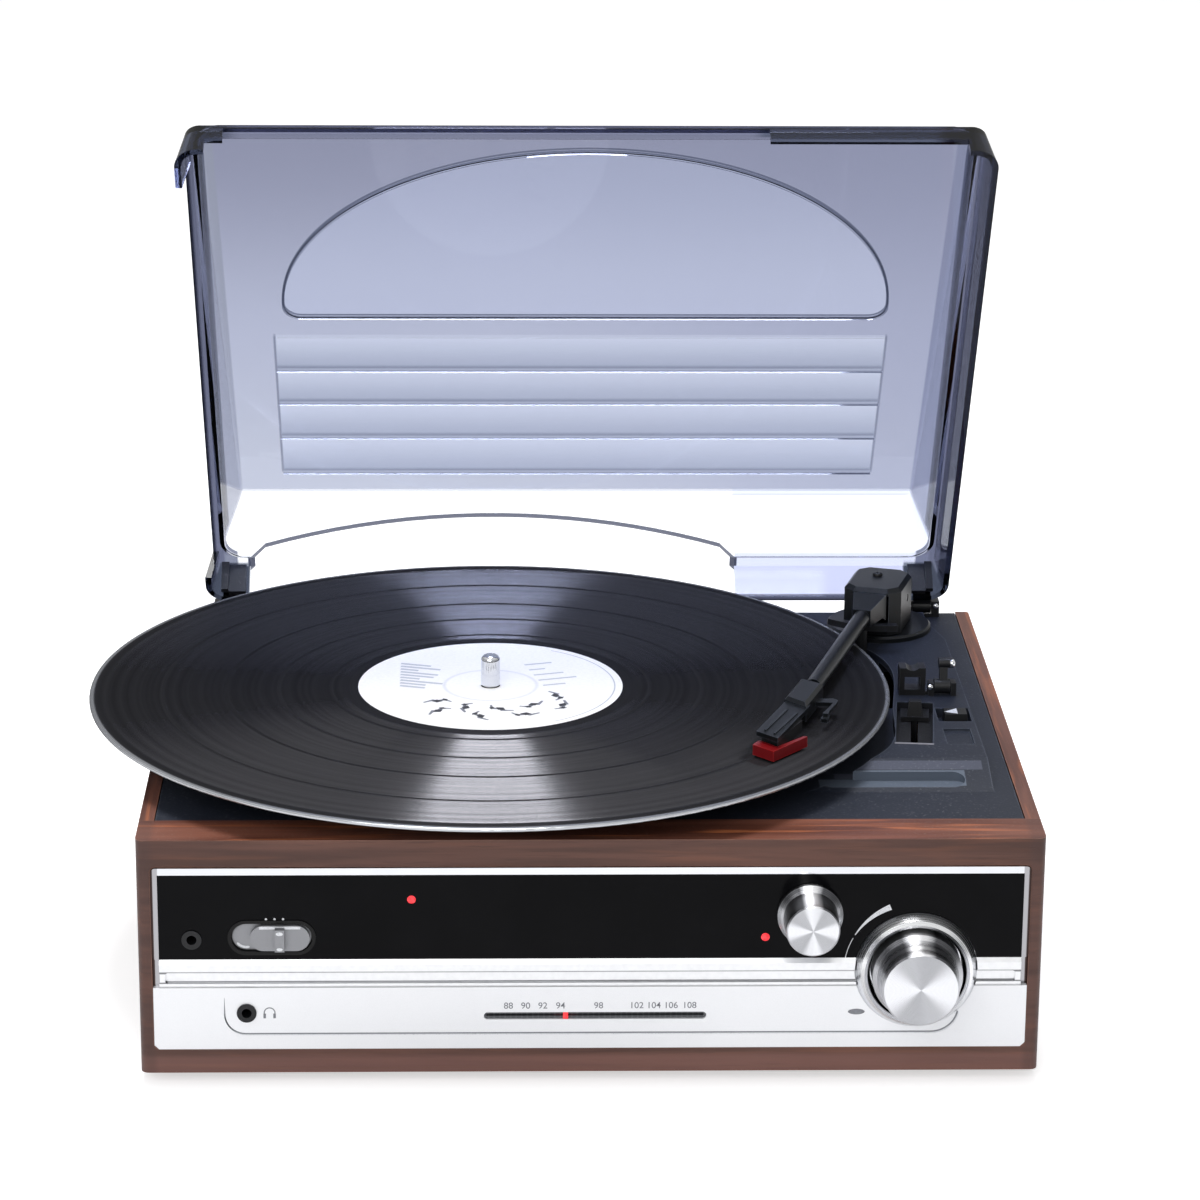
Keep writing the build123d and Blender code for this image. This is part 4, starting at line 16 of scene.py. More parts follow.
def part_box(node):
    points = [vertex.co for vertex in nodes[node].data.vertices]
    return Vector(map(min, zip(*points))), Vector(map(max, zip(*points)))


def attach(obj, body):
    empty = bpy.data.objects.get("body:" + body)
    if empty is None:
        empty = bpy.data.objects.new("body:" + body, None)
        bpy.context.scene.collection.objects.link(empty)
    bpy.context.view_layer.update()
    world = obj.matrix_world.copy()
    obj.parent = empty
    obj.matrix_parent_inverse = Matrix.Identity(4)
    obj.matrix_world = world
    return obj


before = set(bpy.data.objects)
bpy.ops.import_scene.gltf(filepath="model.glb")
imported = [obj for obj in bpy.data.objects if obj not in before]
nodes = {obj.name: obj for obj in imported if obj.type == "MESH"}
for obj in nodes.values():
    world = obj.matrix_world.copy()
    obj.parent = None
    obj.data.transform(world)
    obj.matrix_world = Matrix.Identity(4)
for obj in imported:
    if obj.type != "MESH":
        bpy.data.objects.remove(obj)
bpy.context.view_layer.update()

MM = 0.001

# %% [markdown]
# ## The places that the finishes need
# A knob's brushing turns about the knob's own axis and a record's grooves about the spindle, so the centres are
# read from the solids themselves. Nothing is measured twice.

# %% Centres and faces of the solids
def middle(name):
    """Middle of a solid's box."""
    low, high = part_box(name)
    return (low + high) / 2


def half_width(name):
    """Half of a solid's width."""
    low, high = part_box(name)
    return (high.x - low.x) / 2


def front_face(name):
    """The Y of the foremost point of a solid."""
    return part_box(name)[0].y


spindle = middle("record")
record_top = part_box("record_label")[1].z
record_radius, label_radius = half_width("record"), half_width("record_label")
volume_axis, tuning_axis = middle("volume_knob"), middle("tuning_knob")
panel_y, black_y = front_face("lower_panel"), front_face("display_panel")
cabinet_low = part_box("front_frame")[0].z
print("spindle at", [round(v / MM, 1) for v in spindle], "record radius", round(record_radius / MM, 1))

# %% [markdown]
# ## The camera
# The product is seen from a little above the front, through a long lens, so that its edges stay almost
# parallel. The camera is turned in three steps: down by its pitch, round by its yaw, and a touch of roll.

# %% Camera
def linked(name, data):
    """A new object of the scene."""
    made = bpy.data.objects.new(name, data)
    bpy.context.scene.collection.objects.link(made)
    return made


CAMERA_PLACE = Vector((-35.99, -1498.3, 626.55)) * MM
CAMERA_LENS = 125.72
CAMERA_PITCH = math.radians(17.976)
CAMERA_YAW = math.radians(1.593)
CAMERA_ROLL = math.radians(0.4356)

camera_data = bpy.data.cameras.new("camera")
camera_data.lens = CAMERA_LENS
camera_data.sensor_width = 36.0
camera_data.clip_start, camera_data.clip_end = 0.05, 30.0
camera = linked("camera", camera_data)
turn = Matrix.Rotation(-CAMERA_YAW, 4, "Z") @ Matrix.Rotation(math.pi / 2 - CAMERA_PITCH, 4, "X")
camera.matrix_world = Matrix.Translation(CAMERA_PLACE) @ turn @ Matrix.Rotation(CAMERA_ROLL, 4, "Z")
bpy.context.scene.camera = camera
bpy.context.scene.view_settings.view_transform = "Standard"
print("camera", round(CAMERA_PLACE.length, 2), "m away, lens", CAMERA_LENS, "mm")

# %% [markdown]
# ## Wires
# A finish is a graph of nodes. Here a node's output is wrapped as a wire that can be added, multiplied and so on
# like a number, and each sum places its own Math node. A finish below then reads as a short piece of arithmetic.

# %% Wires between nodes
class Wire:
    """A node's output, to reckon with."""

    def __init__(self, socket):
        self.socket, self.tree = socket, socket.id_data

    def __rsub__(self, other):
        return reckon("SUBTRACT", other, self)


for sign, operation in (("add", "ADD"), ("sub", "SUBTRACT"), ("mul", "MULTIPLY"), ("truediv", "DIVIDE"),
                        ("abs", "ABSOLUTE")):
    setattr(Wire, f"__{sign}__", lambda *terms, operation=operation: reckon(operation, *terms))


class Wires:
    """All the outputs of a node, by name or by number."""

    def __init__(self, node):
        self.node = node

    def __getitem__(self, key):
        return Wire(self.node.outputs[key])


def plug(node, inputs):
    """Feeds a node's inputs with plain values or wires."""
    for label, value in inputs.items():
        if isinstance(value, Wire):
            node.id_data.links.new(value.socket, node.inputs[label])
        else:
            node.inputs[label].default_value = value


def place(tree, kind, inputs=None, **options):
    """Adds a node to a tree, or to the tree of a wire."""
    node = getattr(tree, "tree", tree).nodes.new("ShaderNode" + kind)
    for option, value in options.items():
        setattr(node, option, value)
    plug(node, inputs or {})
    return Wires(node)


def first_wire(terms):
    """The first wire among some terms, which tells the tree they belong to."""
    return next(term for term in terms if isinstance(term, Wire))


def reckon(operation, *terms):
    """A Math node's result."""
    return place(first_wire(terms), "Math", dict(enumerate(terms)), operation=operation)[0]


def least(*values):
    """The least of some values."""
    return functools.reduce(lambda a, b: reckon("MINIMUM", a, b), values)


def most(*values):
    """The greatest of some values."""
    return functools.reduce(lambda a, b: reckon("MAXIMUM", a, b), values)


def reckon_vector(operation, *terms):
    """A Vector Math node's result: a number for a length or a dot product, else a vector."""
    inputs = {0: terms[0], "Scale": terms[1]} if operation == "SCALE" else dict(enumerate(terms))
    result = "Value" if operation in ("LENGTH", "DOT_PRODUCT") else "Vector"
    return place(first_wire(terms), "VectorMath", inputs, operation=operation)[result]


def parts(vector):
    """A vector's X, Y and Z."""
    return place(vector, "SeparateXYZ", {0: vector})


def combine(*terms):
    """A vector from up to three numbers."""
    return place(first_wire(terms), "CombineXYZ", dict(enumerate(terms)))[0]


def spread(value, low, high, start=0.0, end=1.0):
    """Carries a value from low..high to start..end, with soft ends."""
    terms = {0: value, 1: low, 2: high, 3: start, 4: end}
    return place(value, "MapRange", terms, interpolation_type="SMOOTHSTEP")[0]


def between(value, low, high, soft=0.3):
    """A mask that is 1 from low to high."""
    return spread(value, low - soft, low + soft) * spread(value, high + soft, high - soft)


def blend(share, first, second):
    """The mix of two colours, by share from 0 to 1."""
    return place(share, "Mix", {0: share, 6: first, 7: second}, data_type="RGBA")[2]


def layered(colour, *coats):
    """Lays coats over a colour in turn, each a mask and a colour of its own."""
    for mask, coat in coats:
        colour = blend(mask, colour, coat)
    return colour


def noise(point, scale, detail, distortion=0.0):
    """Cloudy noise from 0 to 1."""
    return place(point, "TexNoise", {"Vector": point, "Scale": scale, "Detail": detail, "Distortion": distortion})[0]


def tone(red, green, blue):
    """A colour as a screen shows it, 0 to 255, turned into the linear colour that shaders use."""
    shares = [part / 255 for part in (red, green, blue)]
    return tuple(p / 12.92 if p <= 0.04045 else ((p + 0.055) / 1.055) ** 2.4 for p in shares) + (1.0,)


print("wires ready")

# %% [markdown]
# ## Materials and groups
# A material starts from its Principled shader, whose plain values are set straight on the shader. A group is
# built once from a function, with its own named inputs, and any material can use it.

# %% Materials and groups
def spaced(inputs):
    """Socket names with their spaces back."""
    return {label.replace("_", " "): value for label, value in inputs.items()}


class Finish:
    """A material in the making. The wire `where` is a point's place on its own piece, in metres."""

    def __init__(self, name, colour, roughness, **plain):
        self.material = bpy.data.materials.new(name)
        self.material.use_nodes = True
        self.tree = self.material.node_tree
        self.shader = self.tree.nodes["Principled BSDF"]
        self.where = place(self.tree, "TexCoord")["Object"]
        self.feed(Base_Color=colour, Roughness=roughness, **plain)

    def feed(self, **inputs):
        """Feeds the shader, and gives the material."""
        plug(self.shader, spaced(inputs))
        return self.material

    def relief(self, height, strength, distance):
        """Raises the surface through a Bump node."""
        self.feed(Normal=place(self.tree, "Bump", {"Height": height, "Strength": strength, "Distance": distance})[0])


def effect(name, inputs, **outputs):
    """Makes a shader node group with named sockets out of the function that follows."""
    def build(reckoned):
        tree = bpy.data.node_groups.new(name, "ShaderNodeTree")
        for label, value in inputs.items():
            kind = {float: "Float", tuple: "Color", type(None): "Vector"}[type(value)]
            socket = tree.interface.new_socket(label, in_out="INPUT", socket_type="NodeSocket" + kind)
            if value is not None:
                socket.default_value = value
        for label, kind in outputs.items():
            tree.interface.new_socket(label, in_out="OUTPUT", socket_type="NodeSocket" + kind)
        given = Wires(tree.nodes.new("NodeGroupInput"))
        plug(tree.nodes.new("NodeGroupOutput"), reckoned(given))
        print("effect made:", name)
        return reckoned
    return build


def use(name, **inputs):
    """Places a group and gives its outputs."""
    return place(first_wire(inputs.values()), "Group", spaced(inputs), node_tree=bpy.data.node_groups[name])


print("materials and groups ready")

# %% [markdown]
# ## Effects that several finishes share
# Walnut, dust, rubbed edges with their painted highlights, moulded grain and turning lines each come back in more
# than one material, so each is a group, and a change to it reaches every finish.

# %% Effect: walnut figure
WOOD = {"Vector": None, "Dark": tone(72, 47, 40), "Mid": tone(98, 66, 56), "Streak": tone(170, 104, 70),
        "Streak Amount": 0.3}


@effect("walnut figure", WOOD, Color="Color", Height="Float")
def walnut_figure(given):
    """Long brown figure, orange streaks and fine dark pores along the group's X."""
    long_ways = reckon_vector("MULTIPLY", given["Vector"], (1.0, 16.0, 16.0))
    finer = reckon_vector("MULTIPLY", long_ways, (2.5, 4.0, 4.0))
    body = blend(spread(noise(long_ways, 8.0, 5.0, 0.7), 0.32, 0.66), given["Dark"], given["Mid"])
    streaks = spread(noise(long_ways, 17.0, 3.0, 0.3), 0.5, 0.72) * given["Streak Amount"]
    pores = spread(noise(finer, 24.0, 2.0), 0.58, 0.72, 0.0, 0.45)
    return {"Color": layered(body, (streaks, given["Streak"]), (pores, given["Dark"])), "Height": 1.0 - pores}


# %% Effect: upward faces, and the dust that settles on them
@effect("settled dust", {"Vector": None, "Amount": 0.3, "Speck Scale": 900.0}, Up="Float", Dust="Float")
def settled_dust(given):
    """How far a face looks up, and specks of dust where it does."""
    where = given["Vector"]
    up = spread(parts(place(where, "NewGeometry")["Normal"])["Z"], 0.4, 0.95)
    specks = spread(noise(where, given["Speck Scale"], 2.0), 0.56, 0.78)
    drifts = spread(noise(where, 14.0, 3.0), 0.3, 0.7)
    return {"Up": up, "Dust": specks * drifts * up * given["Amount"]}


# %% Effect: rubbed edges and painted edge highlights
@effect("edge wear and light", {"Vector": None, "Width": 0.0008, "Amount": 1.0}, Mask="Float")
def worn_edge(given):
    """A mask of the outer edges, broken up a little, for the wear that handling leaves and for a painted highlight
    where a bevel catches the light.
    """
    where = given["Vector"]
    rounded = place(where, "Bevel", {"Radius": given["Width"]}, samples=6)[0]
    edge = spread(reckon_vector("DOT_PRODUCT", rounded, place(where, "NewGeometry")["True Normal"]), 0.98, 0.8)
    return {"Mask": edge * spread(noise(where, 120.0, 4.0), 0.3, 0.65, 0.4, 1.0) * given["Amount"]}


# %% Effect: moulded grain
GRAIN = {"Vector": None, "Grain Scale": 1500.0, "Roughness": 0.5, "Variation": 0.15}


@effect("moulded grain", GRAIN, Height="Float", Roughness="Float")
def moulded_grain(given):
    """The fine spark-eroded texture that a mould leaves, as a height, with a roughness to match."""
    shift = (noise(given["Vector"], 22.0, 3.0) - 0.5) * given["Variation"]
    return {"Height": noise(given["Vector"], given["Grain Scale"], 2.0), "Roughness": given["Roughness"] + shift}


# %% Effect: turning lines
@effect("turning lines", {"Vector": None, "Pitch": 0.0006}, Ring="Float", Radius="Float", Outward="Vector")
def turning_lines(given):
    """Fine rings about the group's Z, as a lathe or a record press leaves them."""
    flat = reckon_vector("MULTIPLY", given["Vector"], (1.0, 1.0, 0.0))
    radius = reckon_vector("LENGTH", flat)
    wave = reckon("SINE", radius / given["Pitch"] * (2 * math.pi))
    return {"Ring": wave, "Radius": radius, "Outward": reckon_vector("NORMALIZE", flat)}


# %% Shorter names for the effects
def dusty(where, amount):
    """A mask of dust."""
    return use("settled dust", Vector=where, Amount=amount)["Dust"]


def rubbed_edge(where, width, amount):
    """A mask of edges, rubbed by wear and painted lighter as a highlight."""
    return use("edge wear and light", Vector=where, Width=width, Amount=amount)["Mask"]


def patchy(where, roughness, **more):
    """A roughness that drifts a little from place to place."""
    return use("moulded grain", Vector=where, Roughness=roughness, **more)["Roughness"]


print("effects:", [group.name for group in bpy.data.node_groups])

# %% [markdown]
# ## Walnut veneer
# The cabinet's boards are wrapped in a walnut veneer, grey-brown on the upright faces. The narrow tops are painted
# lighter and redder, with more orange streaks, as painted light from above. A picture of wood would repeat and stretch,
# so the grain is made of stretched noise that runs along each board, and a board only has to say which way its grain
# goes.

# %% Walnut
def walnut(name, grain_axis):
    """Satin walnut veneer whose grain runs along X or Y, with its upward faces painted lighter as lit from above."""
    look = Finish(name, tone(98, 66, 56), 0.42, Specular_IOR_Level=0.35)
    split = parts(look.where)
    along = combine(*[split[axis] for axis in {"X": "XYZ", "Y": "YXZ"}[grain_axis]])
    dust = use("settled dust", Vector=look.where, Amount=0.25)
    plain_face = use("walnut figure", Vector=along, Streak_Amount=0.12)
    # Upward faces take a lighter, redder walnut with more orange streaks: painted light from above.
    lit_top_figure = use("walnut figure", Vector=along, Dark=tone(92, 52, 40), Mid=tone(126, 78, 62),
                   Streak=tone(190, 112, 70), Streak_Amount=0.75)
    wood = blend(dust["Up"], plain_face["Color"], lit_top_figure["Color"])
    paler_foot = spread(split["Z"], cabinet_low + 8 * MM, cabinet_low + 5 * MM, 0.0, 0.4)
    darker_ends = spread(abs(split["X"]), 153 * MM, 156 * MM, 0.0, 0.35)
    # Edges are rubbed lighter, partly by wear and partly as a painted highlight.
    wood = layered(wood, (paler_foot, tone(140, 100, 92)), (darker_ends, tone(66, 48, 46)),
                   (rubbed_edge(look.where, 0.0009, 0.55), tone(150, 106, 88)), (dust["Dust"], tone(150, 140, 130)))
    look.relief(plain_face["Height"], 0.35, 0.0002)
    return look.feed(Base_Color=wood, Roughness=patchy(along, 0.42, Variation=0.2))


walnut_across = walnut("walnut_across", "X")
walnut_along = walnut("walnut_along", "Y")
print("walnut:", walnut_across.name, walnut_along.name)

# %% [markdown]
# ## Hidden boards and blocks
# The back and the floor of the cabinet are hardboard, stained near black, and the glue blocks in the corners
# are plain softwood. They show from behind and below, so they get their own grain too.

# %% Hardboard and softwood
def hardboard():
    """Dark stained board, with the short fibres of pressed wood."""
    look = Finish("hardboard", tone(52, 44, 40), 0.7, Specular_IOR_Level=0.25)
    fibres = noise(look.where, 420.0, 5.0, 1.4)
    clouds = spread(noise(look.where, 18.0, 3.0), 0.4, 0.7, 0.0, 0.3)
    board = blend(spread(fibres, 0.35, 0.7), tone(40, 33, 30), tone(66, 56, 50))
    board = layered(board, (clouds, tone(80, 68, 60)), (rubbed_edge(look.where, 0.0008, 0.5), tone(110, 92, 78)))
    look.relief(fibres, 0.4, 0.0003)
    return look.feed(Base_Color=board)


def softwood():
    """Pale pine for the corner blocks, with its rings standing up."""
    look = Finish("softwood", tone(196, 160, 112), 0.65, Specular_IOR_Level=0.3)
    split = parts(look.where)
    pine = use("walnut figure", Vector=combine(*[split[axis] for axis in "ZXY"]), Dark=tone(176, 134, 86),
               Mid=tone(206, 172, 124), Streak=tone(222, 190, 142), Streak_Amount=0.5)
    look.relief(pine["Height"], 0.4, 0.0003)
    return look.feed(Base_Color=pine["Color"])


hardboard_finish, softwood_finish = hardboard(), softwood()
print("boards:", hardboard_finish.name, softwood_finish.name)

# %% [markdown]
# ## Moulded plastics
# The deck is a blue-grey moulding with a dull spark-eroded texture, the tonearm a smoother grey-black, and the
# small levers and the platter black. They differ in colour and texture and not in kind, so one function makes
# all of them from the same effects.

# %% Plastics
def plastic(name, colour, edge_colour, roughness, grain, relief, dust=0.35, gloss=0.5, edge_width=0.6, shade=None):
    """A moulded plastic, lighter at its edges by wear and by a painted highlight, with painted shade and light from its
    own map if it has one, and dusty on top.
    """
    look = Finish(name, colour, roughness, Specular_IOR_Level=gloss)
    texture = use("moulded grain", Vector=look.where, Grain_Scale=grain, Roughness=roughness)
    body = blend(rubbed_edge(look.where, edge_width * MM, 0.7), colour, edge_colour)
    if shade:
        body = shade(look.where, body)
    look.relief(texture["Height"], relief, 0.0002)
    body = blend(dusty(look.where, dust), body, tone(150, 152, 158))
    return look.feed(Base_Color=body, Roughness=texture["Roughness"])


def in_box(point, low, high, soft=0.25 * MM):
    """A mask that is 1 inside an upright box."""
    split, masks = parts(point), []
    for axis, start, stop in zip("XYZ", low, high):
        for edge, sign in ((start, 1.0), (stop, -1.0)):
            masks.append(spread((split[axis] - edge) * sign, -soft, soft))
    return math.prod(masks[1:], start=masks[0])


WELL_MIDDLE = Vector((123.6, -20.3, 0.0)) * MM
WELL_TURN = math.radians(-5.8)
WELL = (Vector((-6.9, -22.6, 0.0)) * MM, Vector((6.9, 22.6, 98.2)) * MM)
SILL = (Vector((-7.2, -24.2, 98.0)) * MM, Vector((7.2, -22.8, 1000.0)) * MM)
TROUGH = (Vector((84.0, -76.3, 0.0)) * MM, Vector((137.2, -66.9, 98.5)) * MM)
LOW_LEDGE = (Vector((90.0, -66.5, 90.0)) * MM, Vector((144.0, -61.0, 99.5)) * MM)


def deck_shades(where, colour):
    """Painted shade and light on the deck: the speed lever's well is painted black as shade, its front sill pale as a
    painted highlight, the trough before the island paler as lit, and a low ledge is tinted paler.
    """
    turned_back = {"Vector": where, "Center": WELL_MIDDLE, "Angle": -WELL_TURN}
    in_well = place(where, "VectorRotate", turned_back, rotation_type="Z_AXIS")[0]
    well_shade, sill_highlight = [in_box(in_well, *[WELL_MIDDLE + corner for corner in box]) for box in (WELL, SILL)]
    trough_light, low_ledge = in_box(where, *TROUGH), in_box(where, *LOW_LEDGE)
    # Painted light and shade: a paler trough as lit, a black well as shade, a pale sill as a highlight.
    return layered(colour, (trough_light * 0.8, tone(92, 102, 116)), (low_ledge * 0.5, tone(88, 92, 108)),
                   (well_shade, tone(11, 11, 13)), (sill_highlight * 0.8, tone(140, 138, 142)))


# The deck's wide pale edges are painted highlights along its bevels, as well as wear.
deck_plastic = plastic("deck_plastic", tone(28, 33, 45), tone(88, 94, 106), 0.55, 1400.0, 0.3, dust=0.2, gloss=0.3,
                       edge_width=1.1, shade=deck_shades)
arm_plastic = plastic("arm_plastic", tone(9, 12, 15), tone(70, 76, 86), 0.34, 2200.0, 0.12, dust=0.08, gloss=0.26)
black_plastic = plastic("black_plastic", tone(16, 17, 20), tone(52, 54, 60), 0.42, 1800.0, 0.2, dust=0.2, gloss=0.35)
rubber = plastic("rubber", tone(24, 24, 25), tone(44, 44, 46), 0.75, 900.0, 0.4, gloss=0.25)
red_plastic = plastic("red_plastic", tone(112, 6, 12), tone(190, 40, 40), 0.28, 2400.0, 0.08, dust=0.1)
white_plastic = plastic("white_plastic", tone(214, 214, 210), tone(230, 230, 228), 0.35, 1800.0, 0.1, dust=0.1)
print("plastics:", [m.name for m in (deck_plastic, arm_plastic, black_plastic, rubber, red_plastic, white_plastic)])

# %% [markdown]
# ## Metals
# Chrome trim frames the controls, the knobs are turned from aluminium, and the works inside are plated steel.
# A turned face scatters light across its lines and hardly along them, so its highlight opens into fans.
# Anisotropic shading with a tangent that runs round the knob's axis helps it, and the fans are also painted into
# the colour as a painted reflection, as are the shade and the glint along each knob's flank.

# %% Chrome and steel
def chrome(name="chrome_trim", box=None, shaded_rim=0.0):
    """Bright plating with faint finger marks. On a frame, its sides are painted greyer as a painted reflection, and its
    outer rim dark as a painted shadow where it is seated in a wider opening.
    """
    look = Finish(name, tone(206, 208, 213), 0.1, Metallic=1.0)
    haze = spread(noise(look.where, 30.0, 4.0), 0.4, 0.75, 0.0, 0.25)
    plated = blend(haze, tone(222, 224, 228), tone(190, 192, 198))
    if box:
        (low, high), split = box, parts(look.where)
        sides = (split["X"] - low.x, high.x - split["X"])
        edge = least(*sides, split["Z"] - low.z, high.z - split["Z"])
        # Painted reflection on the frame's sides, and a painted shadow along its outer rim.
        plated = layered(plated, (spread(least(*sides), 2.7 * MM, 2.3 * MM, 0.0, 0.75), tone(140, 137, 140)),
                         (spread(edge, shaded_rim, shaded_rim * 0.6), tone(58, 46, 44)))
    return look.feed(Base_Color=plated, Roughness=patchy(look.where, 0.12, Variation=0.16))


def plated_steel():
    """Dull zinc-plated steel for screws, pins, the motor and the works."""
    look = Finish("plated_steel", tone(176, 178, 180), 0.35, Metallic=1.0)
    blotches = place(look.tree, "TexVoronoi", {"Vector": look.where, "Scale": 260.0})["Distance"]
    zinc = blend(spread(blotches, 0.1, 0.8, 0.0, 0.5), tone(188, 190, 192), tone(150, 150, 148))
    scratched = use("moulded grain", Vector=look.where, Grain_Scale=900.0, Roughness=0.36)
    look.relief(scratched["Height"], 0.15, 0.0001)
    return look.feed(Base_Color=zinc, Roughness=scratched["Roughness"])


chrome_trim = chrome()
frame_chrome = chrome("frame_chrome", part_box("fascia_frame"), shaded_rim=0.9 * MM)
steel_finish = plated_steel()
print("metals:", chrome_trim.name, frame_chrome.name, steel_finish.name)

# %% Spun aluminium
def about_axis(where, axis, pitch):
    """Turning lines about an axis that runs front to back, with the distances across and up from it."""
    split = parts(where)
    across, up = split["X"] - axis.x, split["Z"] - axis.z
    return across, up, use("turning lines", Vector=combine(across, up, split["Y"]), Pitch=pitch)


def spun_aluminium(name, axis, fans):
    """Turned aluminium for a knob: fans of painted reflection on its face, and painted shade with a painted glint along
    its flank.
    """
    look = Finish(name, tone(214, 216, 220), 0.3, Metallic=1.0, Anisotropic=0.85, Anisotropic_Rotation=0.25)
    across, up, lines = about_axis(look.where, axis, 0.00045)
    angle = reckon("ARCTAN2", up, across)
    # Painted reflection: light and dark fans on the face, and a dark band and a glint along the flank.
    opened = spread(reckon("COSINE", angle * float(fans)), -0.5, 0.8)
    face = blend(opened, tone(176, 177, 181), tone(228, 229, 233))
    off_top = abs(angle - math.pi / 2)
    shade = spread(off_top, 0.28, 0.42) * spread(off_top, 1.6, 0.8, 0.0, 0.85)
    flank = layered(tone(196, 197, 201), (shade, tone(40, 41, 45)), (spread(off_top, 0.32, 0.16), tone(250, 250, 252)))
    looks_back = parts(place(look.tree, "NewGeometry")["Normal"])["Y"]
    turned_lines = spread(lines["Ring"], -1.0, 1.0, 0.0, 0.12)
    body = layered(flank, (spread(looks_back, -0.8, -0.92), face), (turned_lines, tone(150, 152, 158)))
    look.feed(Tangent=place(look.tree, "Tangent", direction_type="RADIAL", axis="Y")[0])
    return look.feed(Base_Color=body, Roughness=spread(lines["Ring"], -1.0, 1.0, 0.26, 0.36))


def ring_chrome(axis):
    """The ring round the volume knob, its reflections painted in: bright on its inner slope, grey on its outer edge,
    lighter below and darker above, and black at its inner edge.
    """
    look = Finish("ring_chrome", tone(206, 208, 213), 0.25, Metallic=1.0)
    up, lines = about_axis(look.where, axis, 0.0005)[1:]
    # Painted reflection: the ring's bright and grey bands by radius and height.
    outer = blend(spread(up, -4 * MM, 4 * MM), tone(200, 202, 207), tone(122, 124, 128))
    plated = layered(tone(240, 241, 243), (spread(lines["Radius"], 19.6 * MM, 22.0 * MM), outer),
                     (spread(lines["Radius"], 17.9 * MM, 17.4 * MM), tone(30, 30, 33)))
    return look.feed(Base_Color=plated, Roughness=spread(lines["Ring"], -1.0, 1.0, 0.2, 0.3))


volume_aluminium = spun_aluminium("volume_aluminium", volume_axis, 2)
tuning_aluminium = spun_aluminium("tuning_aluminium", tuning_axis, 4)
ring_finish = ring_chrome(volume_axis)
print("spun:", volume_aluminium.name, tuning_aluminium.name, ring_finish.name)

# %% [markdown]
# ## Painted and glossy panels
# The lower panel and the selector are painted silver, with flakes too fine to see singly, and the display panel
# is black acrylic. The black stays deep: its gloss is kept low, as on a part that has been polished flat.

# %% Panels
def flakes(look, scale, depth):
    """A mask of metal flakes."""
    cells = place(look.tree, "TexVoronoi", {"Vector": look.where, "Scale": scale})["Distance"]
    return spread(cells, 0.0, 0.9, 0.0, depth)


def silver_paint():
    """Pale silver lacquer, with a fine flake."""
    look = Finish("silver_paint", tone(232, 233, 236), 0.34, Metallic=0.25)
    lacquer = blend(flakes(look, 5200.0, 0.3), tone(238, 239, 242), tone(214, 216, 220))
    return look.feed(Base_Color=lacquer, Roughness=patchy(look.where, 0.34))


def black_gloss():
    """Polished black acrylic, faintly dusty."""
    look = Finish("black_gloss", tone(10, 10, 12), 0.12, Specular_IOR_Level=0.06)
    clouds = spread(noise(look.where, 35.0, 4.0), 0.35, 0.75, 0.0, 0.5)
    acrylic = blend(clouds, tone(8, 8, 10), tone(15, 15, 17))
    return look.feed(Base_Color=acrylic, Roughness=patchy(look.where, 0.14))


def satin_strip():
    """Satin plating on the strip between the panels, with painted shade where its groove and lower edge turn under and
    at the ends of its bar.
    """
    look = Finish("satin_strip", tone(228, 229, 232), 0.3, Metallic=0.8)
    height, foot = parts(look.where)["Z"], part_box("trim_strip")[0].z
    # Painted shade: dark lines at the foot, along the groove and at the bar's ends.
    shade = spread(height, foot + 0.9 * MM, foot, 0.0, 0.55)
    for rise, reach in ((6.0 * MM, 0.6 * MM), (2.2 * MM, 0.45 * MM)):
        shade = most(shade, spread(abs(height - (foot + rise)), reach, reach * 0.2, 0.0, 0.9))
    end_line = spread(abs(abs(parts(look.where)["X"]) - 153.0 * MM), 0.8 * MM, 0.4 * MM)
    beside_bar = spread(abs(height - (foot + 4.1 * MM)), 2.1 * MM, 1.8 * MM)
    brushed = spread(noise(look.where, 500.0, 3.0), 0.35, 0.7, 0.0, 0.3)
    plated = layered(tone(230, 231, 233), (brushed, tone(214, 215, 218)),
                     (most(shade, end_line * beside_bar), tone(96, 97, 100)))
    return look.feed(Base_Color=plated, Roughness=patchy(look.where, 0.3))


def selector_silver(name, colour, lip=0.0):
    """Darker silver lacquer for the source selector, with a black lip round its opening."""
    look = Finish(name, colour, 0.4, Metallic=0.55)
    lacquer = blend(flakes(look, 4200.0, 0.4), colour, tuple(0.75 * c for c in colour[:3]) + (1.0,))
    if lip:
        (low, high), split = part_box("selector_bezel"), parts(look.where)
        half, round_end = (high.x - low.x) / 2 - lip, (high.z - low.z) / 2 - lip
        past = most(abs(split["X"] - (low.x + high.x) / 2) - (half - round_end), 0.0)
        reach = reckon_vector("LENGTH", combine(past, 0.0, split["Z"] - (low.z + high.z) / 2))
        lacquer = blend(spread(reach, round_end - 0.2 * MM, round_end + 0.1 * MM), lacquer, tone(4, 4, 5))
    return look.feed(Base_Color=lacquer)


def dial_grey():
    """The dark strip behind the dial's slot, with a fine ruling across it."""
    look = Finish("dial_grey", tone(78, 80, 84), 0.5)
    ruling = place(look.tree, "TexWave", {"Vector": look.where, "Scale": 160.0}, bands_direction="X")[1]
    return look.feed(Base_Color=blend(spread(ruling, 0.6, 1.0, 0.0, 0.5), tone(74, 76, 80), tone(104, 106, 110)))


def board_green():
    """Lacquered circuit board with a hint of its copper tracks."""
    look = Finish("board_green", tone(30, 92, 58), 0.4)
    tracks = place(look.tree, "TexBrick", {"Vector": look.where, "Scale": 160.0, "Mortar Size": 0.03})["Fac"]
    look.relief(tracks, 0.3, 0.0001)
    return look.feed(Base_Color=blend(tracks * 0.7, tone(26, 88, 54), tone(64, 128, 84)))


